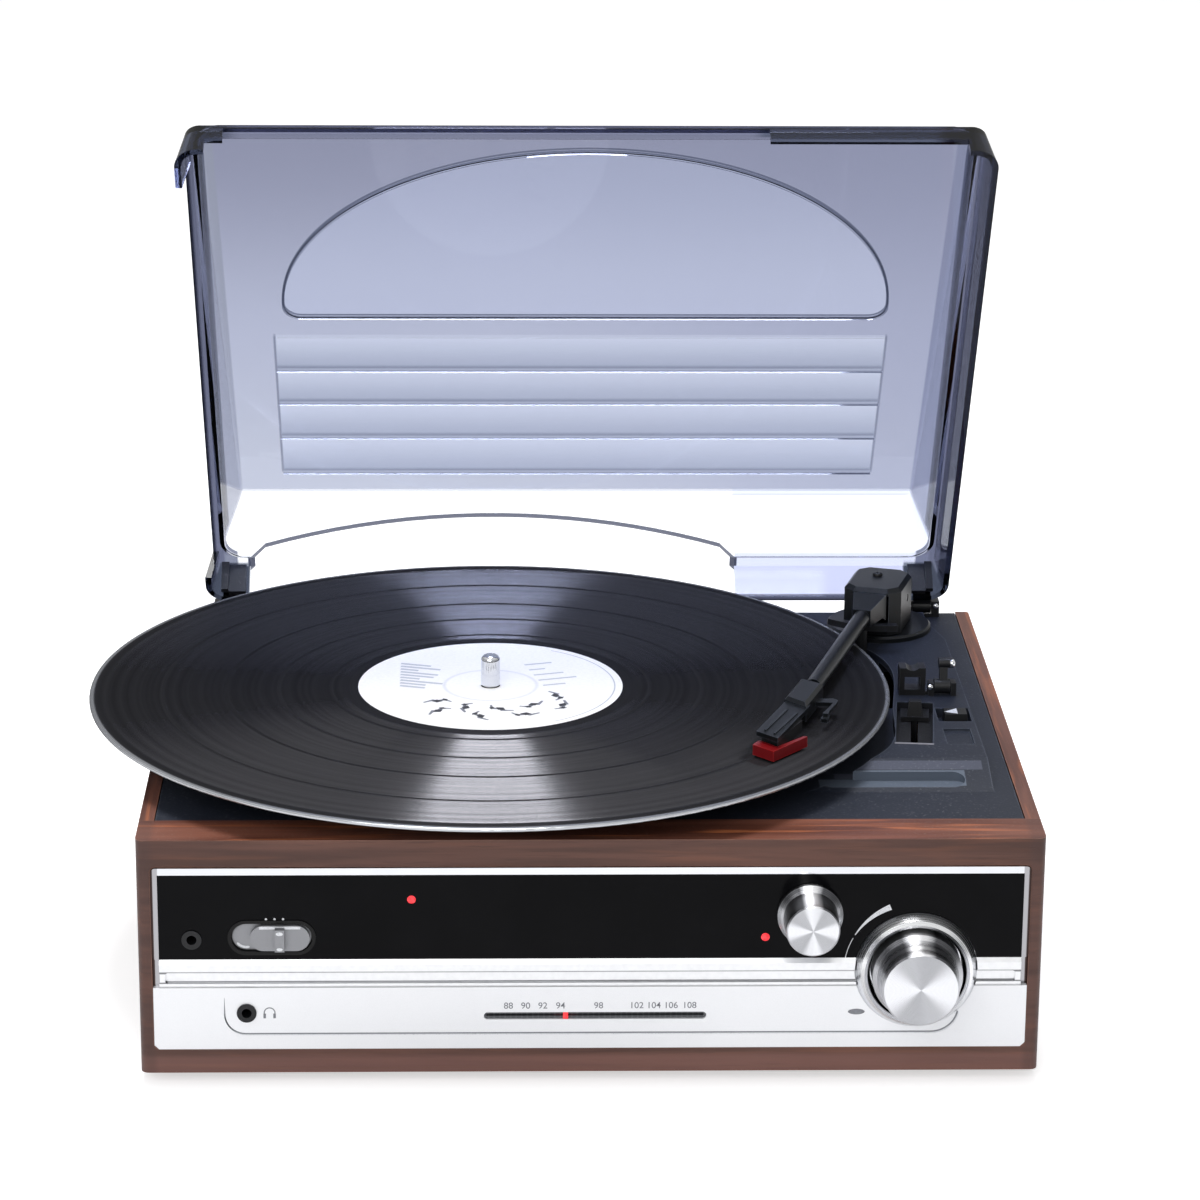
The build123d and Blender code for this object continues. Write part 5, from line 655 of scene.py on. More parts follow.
silver_finish, gloss_finish, strip_finish = silver_paint(), black_gloss(), satin_strip()
bezel_finish = selector_silver("bezel_silver", tone(128, 128, 132), lip=1.5 * MM)
selector_finish = selector_silver("selector_silver", tone(141, 142, 146))
dial_finish, board_finish = dial_grey(), board_green()
print("panels:", [m.name for m in (silver_finish, gloss_finish, strip_finish, dial_finish, board_finish)])

# %% [markdown]
# ## Lamps
# The power and stereo lamps and the dial's pointer are red plastic lit from behind. A little emission keeps them
# clear against the black.

# %% Red lamps
def lamp_red():
    """Red plastic, lit from within."""
    look = Finish("lamp_red", tone(220, 20, 30), 0.3, Emission_Strength=0.55)
    colour = blend(spread(noise(look.where, 700.0, 1.0), 0.3, 0.7), tone(216, 14, 30), tone(255, 60, 66))
    return look.feed(Base_Color=colour, Emission_Color=colour)


lamp_finish = lamp_red()
print("lamp:", lamp_finish.name)

# %% [markdown]
# ## The record
# A record's groove walls slope about a third of a right angle either way, and they mirror a lamp overhead only
# where they face it: in a fan before the spindle and a fan behind it. The walls are far finer than a pixel, so
# the shader tips the normal inward or outward by turns, and the anisotropy widens each fan. Between tracks the
# land is smooth, which draws the faint rings.

# %% Vinyl
GROOVE_PITCH = 0.24 * MM
WALL_TIP = 0.62
TRACK_GAPS = [0.4, 0.53, 0.66, 0.82]


def from_spindle(where):
    """A point's place from the spindle's axis."""
    return reckon_vector("SUBTRACT", where, (spindle.x, spindle.y, 0.0))


def vinyl():
    """Black pressed vinyl with grooves, track gaps and a little dust."""
    look = Finish("vinyl", tone(30, 30, 33), 0.22, Metallic=0.8, Anisotropic=0.75, Specular_IOR_Level=0.0,
                  Anisotropic_Rotation=0.25, Specular_Tint=(0.0, 0.0, 0.0, 1.0))
    lines = use("turning lines", Vector=from_spindle(look.where), Pitch=GROOVE_PITCH)
    share = lines["Radius"] / record_radius
    gaps = [spread(abs(share - gap), 0.008, 0.002) for gap in TRACK_GAPS]
    label_share = label_radius / record_radius
    lands = spread(share, 0.955, 0.975) + spread(share, label_share + 0.045, label_share + 0.025)
    smooth = least(lands + sum(gaps[1:], start=gaps[0]), 1.0)
    tip = reckon("SIGN", lines["Ring"]) * WALL_TIP * (1.0 - smooth)
    outward = place(look.tree, "VectorTransform", {0: lines["Outward"]}, vector_type="NORMAL",
                    convert_from="OBJECT", convert_to="WORLD")[0]
    flat = place(look.tree, "NewGeometry")["Normal"]
    wall = reckon_vector("NORMALIZE", reckon_vector("ADD", flat, reckon_vector("SCALE", outward, tip)))
    loudness = spread(noise(combine(share), 60.0, 3.0), 0.3, 0.7)
    # The pale band at the outer edge is a painted highlight of the rim's bevel.
    body = layered(blend(loudness, tone(80, 80, 84), tone(94, 94, 98)),
                   (spread(share, 0.986, 0.992), tone(190, 192, 196)),
                   (dusty(look.where, 0.06), tone(120, 120, 124)))
    round_spindle = place(look.tree, "Tangent", direction_type="RADIAL", axis="Z")[0]
    return look.feed(Base_Color=body, Normal=wall, Tangent=round_spindle)


vinyl_finish = vinyl()
print("vinyl:", vinyl_finish.name, "with", len(TRACK_GAPS), "track gaps")

# %% [markdown]
# ## The paper label
# The label is uncoated white paper, pressed into the vinyl. Its own print is a separate thin piece further
# down; the paper only shows its fibres and a faint pressed ring.

# %% Label paper
def label_paper():
    """White paper with soft fibres and a pressed ring."""
    look = Finish("label_paper", tone(242, 240, 236), 0.7, Specular_IOR_Level=0.3)
    radius = use("turning lines", Vector=from_spindle(look.where))["Radius"]
    pressed = spread(abs(radius - label_radius * 0.35), 0.0, 0.0012)
    fibres = noise(look.where, 800.0, 4.0)
    paper = layered(tone(246, 244, 239), (spread(fibres, 0.35, 0.7, 0.0, 0.5), tone(236, 234, 230)),
                    ((1.0 - pressed) * 0.4, tone(196, 196, 200)))
    look.relief(fibres, 0.2, 0.0001)
    return look.feed(Base_Color=paper)


paper_finish = label_paper()
print("paper:", paper_finish.name)

# %% [markdown]
# ## The smoked lid
# The lid is one shell of tinted acrylic: pale lavender through its plate, near white in its rear wall as a painted
# reflection of the bright backdrop, and nearly black along its rims, where the light has to cross several millimetres.
# A colour that is taken away with depth gives part of that, so the tint is a volume. The rest is painted light and
# shade on a map of the lid: a point's distance across it, forward of its hinge and above its rim says which of its
# regions the point belongs to.

# %% Effect: places on the lid
LID_LEAN = math.radians(60.0)
LID_FORWARD = (0.0, -math.cos(LID_LEAN), math.sin(LID_LEAN))
LID_UPWARD = (0.0, math.sin(LID_LEAN), math.cos(LID_LEAN))
RIM_BELOW_HINGE = 2.4


@effect("lid places", {"Vector": None}, Across="Float", Forward="Float", Above="Float")
def lid_places(given):
    """A point's distance across the lid, forward of its hinge and above its rim, in millimetres."""
    hinge = middle("hinge_pins")
    off = reckon_vector("SUBTRACT", given["Vector"], (0.0, hinge.y, hinge.z))
    from_hinge = reckon_vector("SCALE", off, 1 / MM)
    return {"Across": parts(from_hinge)["X"], "Forward": reckon_vector("DOT_PRODUCT", from_hinge, LID_FORWARD),
            "Above": reckon_vector("DOT_PRODUCT", from_hinge, LID_UPWARD) + RIM_BELOW_HINGE}


# %% Effect: the half-moon on the lid
MOON_MIDDLE, MOON_FOOT = 1.5, 142.6
MOON_HALF, MOON_RISE, MOON_ROUND = 117.5, 88.4, 7.6


@effect("half moon", {"Across": 0.0, "Forward": 0.0}, Distance="Float")
def half_moon(given):
    """Distance outside the half-moon's outline in millimetres: half an oval on a rounded bar."""
    x, y = given["Across"] - MOON_MIDDLE, given["Forward"] - MOON_FOOT
    sizes = (MOON_HALF, MOON_RISE, 1.0)
    once = reckon_vector("DIVIDE", combine(x, y), sizes)
    twice = reckon_vector("DIVIDE", once, sizes)
    reach = reckon_vector("LENGTH", once)
    oval = (reach - 1.0) * reach / most(reckon_vector("LENGTH", twice), 0.0001)
    beyond = most(abs(x) - (MOON_HALF - MOON_ROUND), 0.0)
    bar = reckon_vector("LENGTH", combine(beyond, y)) - MOON_ROUND
    return {"Distance": least(most(oval, y * -1.0), bar)}


print("half moon of", 2 * MOON_HALF, "by", MOON_RISE + MOON_ROUND, "mm")

# %% Smoked acrylic
SMOKE_DENSITY = 60.0
SMOKE_COLOUR = (0.2, 0.24, 0.38, 1.0)
SHADOW_COLOUR = (0.62, 0.66, 0.78, 1.0)
BAND_STEPS = [38.0, 60.9, 82.6, 103.3, 123.4]
BAND_HALF = 119.5
# Painted light and shade for the ribs: dark step lines, shaded near edges, lit far edges.
BAND_SHADE_LINE, BAND_SHADED, BAND_LIT = tone(112, 118, 138), tone(158, 165, 184), tone(188, 194, 212)
MOON_SHADE_LINE = tone(66, 72, 92)
DARK_RIM = tone(38, 41, 56)
PLATE_REAR = 25.4
SHELF_ABOVE = 16.3
SHELF_HALF, SHELF_SLANT, WALL_SLANT = 137.4, 0.2217, 0.05
RIM_HALF, RIM_SLANT = 148.2, 0.1818
ARCH_START, ARCH_END, ARCH_TOP = -134.0, 64.0, 37.0


def band_shading(forward):
    """Painted light and shade on the ribs below the half-moon: each is painted light at its far edge, darker near, and
    dark where it steps down.
    """
    first, last = BAND_STEPS[0], BAND_STEPS[-1]
    ramp = place(forward, "ValToRGB", {0: place(forward, "MapRange", {0: forward, 1: first, 2: last})[0]})
    stops = []
    for near, far in zip(BAND_STEPS[:-1], BAND_STEPS[1:]):
        stops += [(near, BAND_SHADE_LINE), (near + 0.9, BAND_SHADE_LINE), (near + 2.2, BAND_SHADED), (far - 0.5, BAND_LIT)]
    marks = ramp.node.color_ramp.elements
    while len(marks) < len(stops):
        marks.new(0.5)
    for mark, (at, colour) in zip(marks, stops):
        mark.position, mark.color = (at - first) / (last - first), colour
    return ramp[0]


def plate_tint(across, forward, aside):
    """The lid's plate: graded, with the half-moon and the ribs moulded in it, and painted shade along the half-moon's
    outline and at the ribs' ends.
    """
    lower = blend(spread(forward, 30.0, 140.0), tone(176, 181, 196), tone(171, 176, 196))
    off_moon = use("half moon", Across=across, Forward=forward)["Distance"]
    moon = blend(spread(forward, 150.0, 230.0), tone(175, 181, 203), tone(164, 170, 194))
    in_bands = between(forward, BAND_STEPS[0], BAND_STEPS[-1]) * spread(aside, BAND_HALF, BAND_HALF - 0.3)
    band_end_shade = between(forward, BAND_STEPS[0], BAND_STEPS[-1] + 0.5) * between(aside, BAND_HALF - 0.2, BAND_HALF + 0.7)
    return layered(lower, (spread(forward, 120.0, 236.0), tone(146, 150, 172)),
                   (spread(across, -60.0, 140.0, 0.0, 0.5), tone(146, 151, 176)),
                   (spread(off_moon, -0.6, -1.2), moon), (spread(abs(off_moon + 0.5), 0.7, 0.3), MOON_SHADE_LINE),
                   (in_bands, band_shading(forward)), (band_end_shade * 0.8, BAND_SHADE_LINE))


def wall_coats(across, forward, above, aside, normal):
    """The side walls, the rear wall with its arch, and the flange round the foot. The rear wall is left near white as a
    painted reflection, and dark lines of painted shade run along the step, the arch's edge and the foot of the walls.
    """
    wall_edge = SHELF_HALF + SHELF_ABOVE * SHELF_SLANT - above * WALL_SLANT
    side_colour = blend(spread(across, -100.0, 100.0), tone(148, 153, 170), tone(130, 136, 162))
    beyond_arch = spread(across, ARCH_END - 0.4, ARCH_END + 0.4)
    # The rear wall's near white is a painted reflection of the bright backdrop.
    rear_reflection = blend(beyond_arch, tone(255, 255, 255), tone(232, 237, 248))
    flange = spread(above, SHELF_ABOVE + 0.5, SHELF_ABOVE - 0.5)
    low_rear = blend(beyond_arch, tone(246, 250, 255), tone(192, 197, 224))
    beside = most(spread(aside, 142.5, 144.0), spread(forward, 16.5, 20.0))
    step = between(above, SHELF_ABOVE - 1.1, SHELF_ABOVE + 0.5, 0.2) * spread(aside, 137.5, 138.5)
    facing = abs(reckon_vector("DOT_PRODUCT", normal, LID_FORWARD))
    in_arch = between(across, ARCH_START, ARCH_END + 1.0) * between(above, 0.6, ARCH_TOP)
    arch_edge = spread(facing, 0.45, 0.25) * in_arch * spread(forward, 30.0, 29.0)
    outward = parts(normal)["X"] * reckon("SIGN", across)
    foot = spread(outward, -0.3, -0.6) * between(above, SHELF_ABOVE - 0.4, SHELF_ABOVE + 6.0, 0.8)
    beside_plate = spread(aside, 136.5, 137.5) * spread(forward, 27.0, 30.0)
    front_skirt = spread(forward, 243.5, 244.5) * spread(across, 60.0, 66.0) * flange
    return flange, [(spread(aside - wall_edge, -2.4, -1.6), side_colour),
                    (spread(forward, PLATE_REAR + 0.4, PLATE_REAR - 0.4), rear_reflection),
                    (flange, blend(beside, low_rear, tone(156, 159, 182))), (step, tone(58, 62, 80)),
                    (arch_edge, tone(62, 66, 84)), (foot * beside_plate, tone(30, 34, 50)),
                    (front_skirt, tone(88, 96, 114))]


def rim_coats(across, forward, above, aside, flange):
    """Painted shade in the dark rims along the skirt and the front corners, with a lighter stretch on the front rim,
    and the dark corners beside the hinges.
    """
    shaded_rim = most(spread(aside + above * RIM_SLANT, RIM_HALF + 0.9, RIM_HALF + 1.3), spread(above, 1.6, 0.8),
               spread(aside, 143.5, 144.5) * spread(above, 10.0, 7.0),
               spread(aside, 126.0, 134.0) * spread(forward, 241.5, 243.5))
    below_shelf = spread(above, SHELF_ABOVE + 2.4, SHELF_ABOVE + 1.8)
    bright_edge = spread(across, 62.0, 58.0) * spread(forward, 241.0, 243.0)
    hinge_corner = spread(aside, 132.8, 133.6) * flange * spread(forward, 14.0, 12.5)
    return [(shaded_rim * below_shelf, blend(bright_edge, DARK_RIM, tone(84, 90, 108))), (hinge_corner, tone(64, 70, 84))]


def smoked_acrylic():
    """Tinted acrylic, with a thin haze of finger marks, that throws a light shadow."""
    look = Finish("smoked_acrylic", tone(190, 195, 225), 0.03, Transmission_Weight=1.0, IOR=1.25,
                  Specular_IOR_Level=0.08)
    at = use("lid places", Vector=look.where)
    across, forward, above = at["Across"], at["Forward"], at["Above"]
    aside, normal = abs(across), place(look.tree, "TexCoord")["Normal"]
    flange, walls = wall_coats(across, forward, above, aside, normal)
    rims = rim_coats(across, forward, above, aside, flange)
    look.feed(Base_Color=layered(plate_tint(across, forward, aside), *walls, *rims),
              Roughness=patchy(look.where, 0.03, Variation=0.05))
    shadow = place(look.tree, "LightPath")["Is Shadow Ray"]
    film = place(look.tree, "BsdfTransparent", {"Color": SHADOW_COLOUR})[0]
    surface = place(look.tree, "MixShader", {0: shadow, 1: Wire(look.shader.outputs[0]), 2: film})[0]
    smoke = place(look.tree, "VolumeAbsorption", {"Color": SMOKE_COLOUR, "Density": SMOKE_DENSITY})[0]
    plug(look.tree.nodes["Material Output"], {"Surface": surface, "Volume": smoke})
    return look.material


lid_finish = smoked_acrylic()
print("lid:", lid_finish.name)

# %% [markdown]
# ## Dressing the solids
# Each solid keeps its shape and only changes its finish. The table says which solid wears what.

# %% Finish of each solid
WEARS = {
    walnut_across: "front_frame",
    walnut_along: "side_panels",
    hardboard_finish: "rear_panel bottom_panel",
    softwood_finish: "corner_blocks",
    steel_finish: "base_screws hinge_pins spindle_bearing motor arm_shaft arm_tilt_pin volume_shaft volume_pot "
                  "tuning_capacitor selector_switch transformer",
    rubber: "rubber_feet platter_mat drive_belt",
    deck_plastic: "deck_plate",
    arm_plastic: "tonearm_base arm_housing arm_tube headshell",
    black_plastic: "arm_rest hinge_brackets platter motor_pulley auto_stop_cam cartridge lid_hinge_leaves cue_lever "
                   "cue_lift speed_lever auto_stop_knob auto_stop_microswitch tuning_shaft jack_sockets speakers "
                   "line_out_jacks mains_inlet",
    chrome_trim: "platter_spindle",
    ring_finish: "volume_bezel",
    frame_chrome: "fascia_frame",
    strip_finish: "trim_strip",
    vinyl_finish: "record",
    paper_finish: "record_label",
    red_plastic: "stylus",
    lid_finish: "lid",
    gloss_finish: "display_panel",
    silver_finish: "lower_panel",
    bezel_finish: "selector_bezel",
    selector_finish: "selector_knob",
    volume_aluminium: "volume_knob",
    tuning_aluminium: "tuning_knob",
    dial_finish: "dial_strip",
    lamp_finish: "dial_pointer indicator_lamps",
    board_finish: "control_board main_board",
}
dressed = set()
for material, names in WEARS.items():
    for name in names.split():
        dressed.add(name)
        for slot in nodes[name].material_slots:
            slot.material = material
print("dressed", len(dressed), "solids, left", sorted(set(nodes) - dressed))

# %% [markdown]
# ## Flat marks
# Figures, dots, a wedge and symbols are printed or engraved, a few hundredths of a millimetre proud. Each is a
# flat mesh of real width laid just in front of its panel, so that it keeps its edges from any distance.

# %% Helpers for marks
PRINT_PROUD = 0.03 * MM


def piece(name, mesh, material, body):
    """A mesh made into a piece that rides on a body."""
    mesh.materials.append(material)
    made = linked(name, mesh)
    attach(made, body)
    return made


def piece_from(name, corners, faces, material, body):
    """A piece from its corners and faces."""
    mesh = bpy.data.meshes.new(name)
    mesh.from_pydata([tuple(c) for c in corners], [], faces)
    return piece(name, mesh, material, body)


def ribbon(points, widths):
    """Corners and faces of a flat strip along 2-D points, with one width, or a width at each point."""
    if isinstance(widths, float):
        widths = [widths] * len(points)
    corners, faces = [], []
    for i, (point, width) in enumerate(zip(points, widths)):
        before, after = Vector(points[max(i - 1, 0)]), Vector(points[min(i + 1, len(points) - 1)])
        across = (after - before).normalized().orthogonal() * (width / 2)
        corners += [Vector(point) + across, Vector(point) - across]
        if i:
            faces.append((2 * i - 2, 2 * i, 2 * i + 1, 2 * i - 1))
    return corners, faces


def outline(points):
    """Corners and the one face of a flat outline."""
    corners = [Vector(point) for point in points]
    return corners, [tuple(range(len(corners)))]


def disc(centre, across, up, steps=28):
    """Corners and the face of a flat oval."""
    turns = [2 * math.pi * k / steps for k in range(steps)]
    return outline([Vector(centre) + Vector((across * math.cos(t), up * math.sin(t))) for t in turns])


def arc(centre, radius, start, end, steps=24):
    """Points along an arc, in degrees."""
    turns = [math.radians(start + (end - start) * k / steps) for k in range(steps + 1)]
    return [(centre[0] + radius * math.cos(t), centre[1] + radius * math.sin(t)) for t in turns]


def rounded_bar(x, z, half, radius):
    """A bar with round ends."""
    right, left = arc((x + half - radius, z), radius, -90, 90, 12), arc((x - half + radius, z), radius, 90, 270, 12)
    return outline(right + left)


def gather(shapes):
    """Joins flat shapes into one list of corners and one of faces."""
    corners, faces = [], []
    for some, their_faces in shapes:
        faces += [tuple(i + len(corners) for i in face) for face in their_faces]
        corners += list(some)
    return corners, faces


def on_front(name, shapes, y, material, body="base"):
    """Flat shapes, drawn in millimetres as (X, Z), laid on a face that looks at the listener."""
    corners, faces = gather(shapes)
    return piece_from(name, [(c.x * MM, y - PRINT_PROUD, c.y * MM) for c in corners], faces, material, body)


print("mark helpers ready")

# %% Printing inks
def ink(name, colour, thin):
    """Screen-printed ink, a little thin in places."""
    look = Finish(name, colour, 0.45, Specular_IOR_Level=0.3)
    return look.feed(Base_Color=blend(spread(noise(look.where, 2600.0, 2.0), 0.45, 0.75, 0.0, 0.6), colour, thin))


# White ink serves for print, and for painted highlights on the selector and along the engraved line.
white_ink_and_highlight = ink("white_ink_and_highlight", tone(222, 224, 228), tone(170, 172, 178))
grey_ink = ink("grey_ink", tone(120, 122, 128), tone(150, 152, 158))
engraved_shade = ink("engraved_line_shade", tone(128, 130, 136), tone(150, 152, 158))
faint_ink = ink("faint_ink", tone(186, 187, 190), tone(214, 214, 216))
dark_ink = ink("dark_ink", tone(44, 44, 48), tone(84, 84, 88))
print("inks:", [m.name for m in (white_ink_and_highlight, grey_ink, engraved_shade, faint_ink, dark_ink)])

# %% [markdown]
# ## The dial
# Under the black panel runs a slot with a red pointer behind it, and over it a row of plain frequencies. Text
# objects draw the figures, and are turned into meshes so that they travel with the part like any other piece.

# %% Dial figures
DIAL_FIGURES = {88: -29.3, 90: -23.2, 92: -17.1, 94: -10.8, 98: 2.7, 102: 16.2, 104: 22.3, 106: 28.4, 108: 35.0}
FIGURE_HEIGHT = 2.5
HEIGHT_TO_SIZE = 1.35
FIGURE_WEIGHT = 0.02 * MM
CABINET_FOOT = cabinet_low / MM
FIGURE_LINE = CABINET_FOOT + 24.6


def dial_figure(value, x):
    """One figure of the dial, centred on its place."""
    data = bpy.data.curves.new(f"figure_{value}", "FONT")
    data.body = str(value)
    data.size = FIGURE_HEIGHT * HEIGHT_TO_SIZE * MM
    data.align_x = "CENTER"
    data.offset = FIGURE_WEIGHT
    made = linked(data.name, data)
    made.rotation_euler = (math.pi / 2, 0, 0)
    made.location = (x * MM, panel_y - PRINT_PROUD, FIGURE_LINE * MM)
    bpy.context.view_layer.update()
    mesh = bpy.data.meshes.new_from_object(made.evaluated_get(bpy.context.evaluated_depsgraph_get()))
    mesh.transform(made.matrix_world)
    bpy.data.objects.remove(made)
    return mesh


def joined(name, meshes, material, body):
    """Joins meshes into one piece."""
    whole = bmesh.new()
    for mesh in meshes:
        whole.from_mesh(mesh)
    result = bpy.data.meshes.new(name)
    whole.to_mesh(result)
    whole.free()
    result.materials.clear()
    for face in result.polygons:
        face.material_index = 0
    return piece(name, result, material, body)


figures = [dial_figure(value, x) for value, x in DIAL_FIGURES.items()]
joined("dial_figures", figures, grey_ink, "base")
print("dial figures:", len(figures))

# %% [markdown]
# ## Symbols and engraved line on the silver panel
# A headphone symbol stands beside its socket. A shallow line is engraved from beside the socket, round a
# corner, along under the dial and up to the volume ring; it is drawn as a grey line of painted shade, with a white
# lip of painted highlight under it.

# %% Headphone symbol and engraved line
PHONES = Vector((-113.9, CABINET_FOOT + 23.3))
PAD_OFF = Vector((1.75, 0.0))
LINE_X, LINE_TOP, LINE_BOTTOM, LINE_CORNER = -129.8, CABINET_FOOT + 29.1, CABINET_FOOT + 15.3, 7.4
LINE_END_X, END_CORNER = 130.6, 9.5
LINE_WIDTH, LIP_WIDTH = 0.55, 0.35
BADGE_PLACE = (94.4, CABINET_FOOT + 23.0)

headphones = [ribbon(arc(PHONES, 1.9, 195, -15), 0.42)]
for pad in (PHONES - PAD_OFF, PHONES + PAD_OFF):
    headphones.append(ribbon([pad - Vector((0.0, 2.1)), pad - Vector((0.0, 0.3))], 0.9))
on_front("headphone_symbol", headphones, panel_y, grey_ink)
path = [(LINE_X, LINE_TOP)] + arc((LINE_X + LINE_CORNER, LINE_BOTTOM + LINE_CORNER), LINE_CORNER, 180, 270, 10)
path += arc((LINE_END_X - END_CORNER, LINE_BOTTOM + END_CORNER), END_CORNER, 270, 350, 12)
taper = [0.1] + [LINE_WIDTH] * (len(path) - 1)
# The grey line is painted shade in the engraved groove, and the white lip under it is a painted highlight.
on_front("panel_line_shade", [ribbon(path, taper)], panel_y, engraved_shade)
on_front("panel_line_lip_highlight", [ribbon([(x + 0.25, z - 0.5) for x, z in path[1:]], LIP_WIDTH)], panel_y, white_ink_and_highlight)
on_front("panel_badge", [disc(BADGE_PLACE, 3.0, 1.1)], panel_y, grey_ink)
print("engraved line of", len(path), "points")

# %% [markdown]
# ## Marks on the black panel
# Three dots stand over the selector, one for each position. Round the volume ring a white wedge swells as the
# sound does.

# %% Selector dots and volume wedge
DOT_Z = CABINET_FOOT + 58.9
DOT_PLACES = [-114.6, -111.6, -108.6]
VOLUME = (volume_axis.x / MM, volume_axis.z / MM)
WEDGE_RADIUS = 25.6

on_front("selector_dots", [disc((x, DOT_Z), 0.42, 0.42, 16) for x in DOT_PLACES], black_y, white_ink_and_highlight)
thin, swell = arc(VOLUME, WEDGE_RADIUS, 172, 152, 12), arc(VOLUME, WEDGE_RADIUS, 149, 112, 20)
swell_widths = [0.3 + 1.9 * k / (len(swell) - 1) for k in range(len(swell))]
on_front("volume_wedge", [ribbon(thin, 0.25), ribbon(swell, swell_widths)], black_y, white_ink_and_highlight)
print("selector dots:", len(DOT_PLACES))

# %% [markdown]
# ## The selector's shutter and highlights
# Behind the selector's slide a thin grey shutter closes the slot that its stem runs in. White painted highlights
# mark the slide's upper edge, the ends of its ridge and the sill under the slide's track.

# %% Selector shutter and painted highlights
TRACK_FRONT, EDGE_FRONT = -127.25 * MM, -129.4 * MM
TRACK_LIP = 1.6
slide_low, slide_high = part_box("selector_knob")
bezel_low, bezel_high = (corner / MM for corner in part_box("selector_bezel"))
slot_x, slot_z = (bezel_low.x + bezel_high.x) / 2, (bezel_low.z + bezel_high.z) / 2
slot_half, slot_round = (bezel_high.x - bezel_low.x) / 2 - TRACK_LIP, (bezel_high.z - bezel_low.z) / 2 - TRACK_LIP
ridge_x, slide_half = (slide_low.x + slide_high.x) / (2 * MM), half_width("selector_knob") / MM
edge_half, edge_z = slide_half - 3.2, slide_high.z / MM - 0.75

shutter = rounded_bar(slot_x, slot_z, slot_half - 0.2, slot_round - 0.2)
on_front("selector_shutter", [shutter], TRACK_FRONT + PRINT_PROUD, selector_finish)
# Painted highlights: the sill, the slide's upper edge and the ends of its ridge.
sill_highlight = arc((slot_x - slot_half + slot_round, slot_z), slot_round - 0.9, 215, 285, 10)
on_front("selector_sill_highlight", [ribbon(sill_highlight, [0.3] + [0.9] * 9 + [0.5])], TRACK_FRONT, white_ink_and_highlight)
top_edge_highlight = ribbon([(ridge_x - edge_half, edge_z), (ridge_x + edge_half, edge_z)], 1.0)
on_front("selector_top_edge_highlight", [top_edge_highlight], EDGE_FRONT, white_ink_and_highlight, "selector_knob")
ridge_end_highlights = [disc((ridge_x, slide_high.z / MM - 2.0), 1.3, 0.7, 16),
              disc((ridge_x, slide_low.z / MM + 1.6), 1.1, 0.6, 16)]
on_front("selector_ridge_end_highlights", ridge_end_highlights, slide_low.y, white_ink_and_highlight, "selector_knob")
print("selector slide from", [round(v / MM, 1) for v in slide_low], "to", [round(v / MM, 1) for v in slide_high])

# %% [markdown]
# ## The label's print
# The record is nobody's in particular, so its label carries only a rule, some short bars like lines of small
# print, and a bow of little sprigs. Loops and sines work out where the bars and sprigs go, so they come out the
# same each time.

# %% Label print
BAR_ROWS = 9
SPRIGS = 9
TWIG_BEND = [(-5.0, -1.6), (-1.4, 1.2), (0.0, 0.0), (3.0, 1.8), (5.4, -0.8)]


def on_label(name, shapes, material, proud=PRINT_PROUD):
    """Flat shapes in millimetres from the spindle, laid on the label."""
    corners, faces = gather(shapes)
    laid = [(spindle.x + c.x * MM, spindle.y + c.y * MM, record_top + proud) for c in corners]
    return piece_from(name, laid, faces, material, "platter")


def slanted(points, degrees_turned):
    """Points turned about the spindle."""
    turn = math.radians(degrees_turned)
    return [(x * math.cos(turn) - y * math.sin(turn), x * math.sin(turn) + y * math.cos(turn)) for x, y in points]


def small_print():
    """Short bars, ragged at one end, in a block on either side, both a little askew."""
    bars = []
    for row in range(BAR_ROWS):
        start, y = -40.0 + row * 0.9, 15.0 - row * 3.1
        length = 12.0 + 5.0 * math.sin(row * 2.3)
        bars.append(ribbon(slanted([(start, y), (start + length, y)], -16), [1.7, 1.5]))
        if row % 2 == 0:
            bars.append(ribbon(slanted([(19.0, y + 4.0), (19.0 + length * 0.9, y + 4.0)], 16), 1.2))
    return bars


def sprigs():
    """Bent twigs strewn along a bow under the spindle, each with two lozenges along it."""
    twigs, buds = [], []
    for k in range(SPRIGS):
        turn = math.radians(222 + 112 * k / (SPRIGS - 1))
        reach = 27.0 + 8.0 * (k % 2)
        centre = Vector((reach * math.cos(turn), reach * math.sin(turn)))
        lean = 35.0 * k
        twig = [centre + Vector(point) for point in slanted(TWIG_BEND, lean)]
        twigs.append(ribbon(twig, [0.9, 1.5, 1.9, 1.5, 0.8]))
        for corner, size in ((0.0, 2.3), (3.0, 1.6)):
            bud = centre + Vector(slanted([(corner, corner * 0.5)], lean)[0])
            tips = slanted([(size, 0), (0, size * 0.7), (-size, 0), (0, -size * 0.7)], lean + 40 * corner)
            buds.append(outline([bud + Vector(tip) for tip in tips]))
    return twigs, buds


rule = arc((0, 0), label_radius / MM - 3.0, -60, 60, 48)
on_label("label_small_print", small_print() + [ribbon(rule, 0.5)], faint_ink)
twigs, buds = sprigs()
on_label("label_twigs", twigs, grey_ink)
on_label("label_buds", buds, dark_ink, 2 * PRINT_PROUD)
print("label print:", BAR_ROWS, "rows and", SPRIGS, "sprigs")

# %% [markdown]
# ## Turned and pressed small pieces
# Screws, rivets, chrome tips and socket collars are solids of revolution. One helper turns a profile about an
# axis, with enough steps to stay round up close.

# %% Turning helper
UPWARD, BACKWARD, FORWARD, RIGHTWARD = (0, 0, 1), (0, 1, 0), (0, -1, 0), (1, 0, 0)


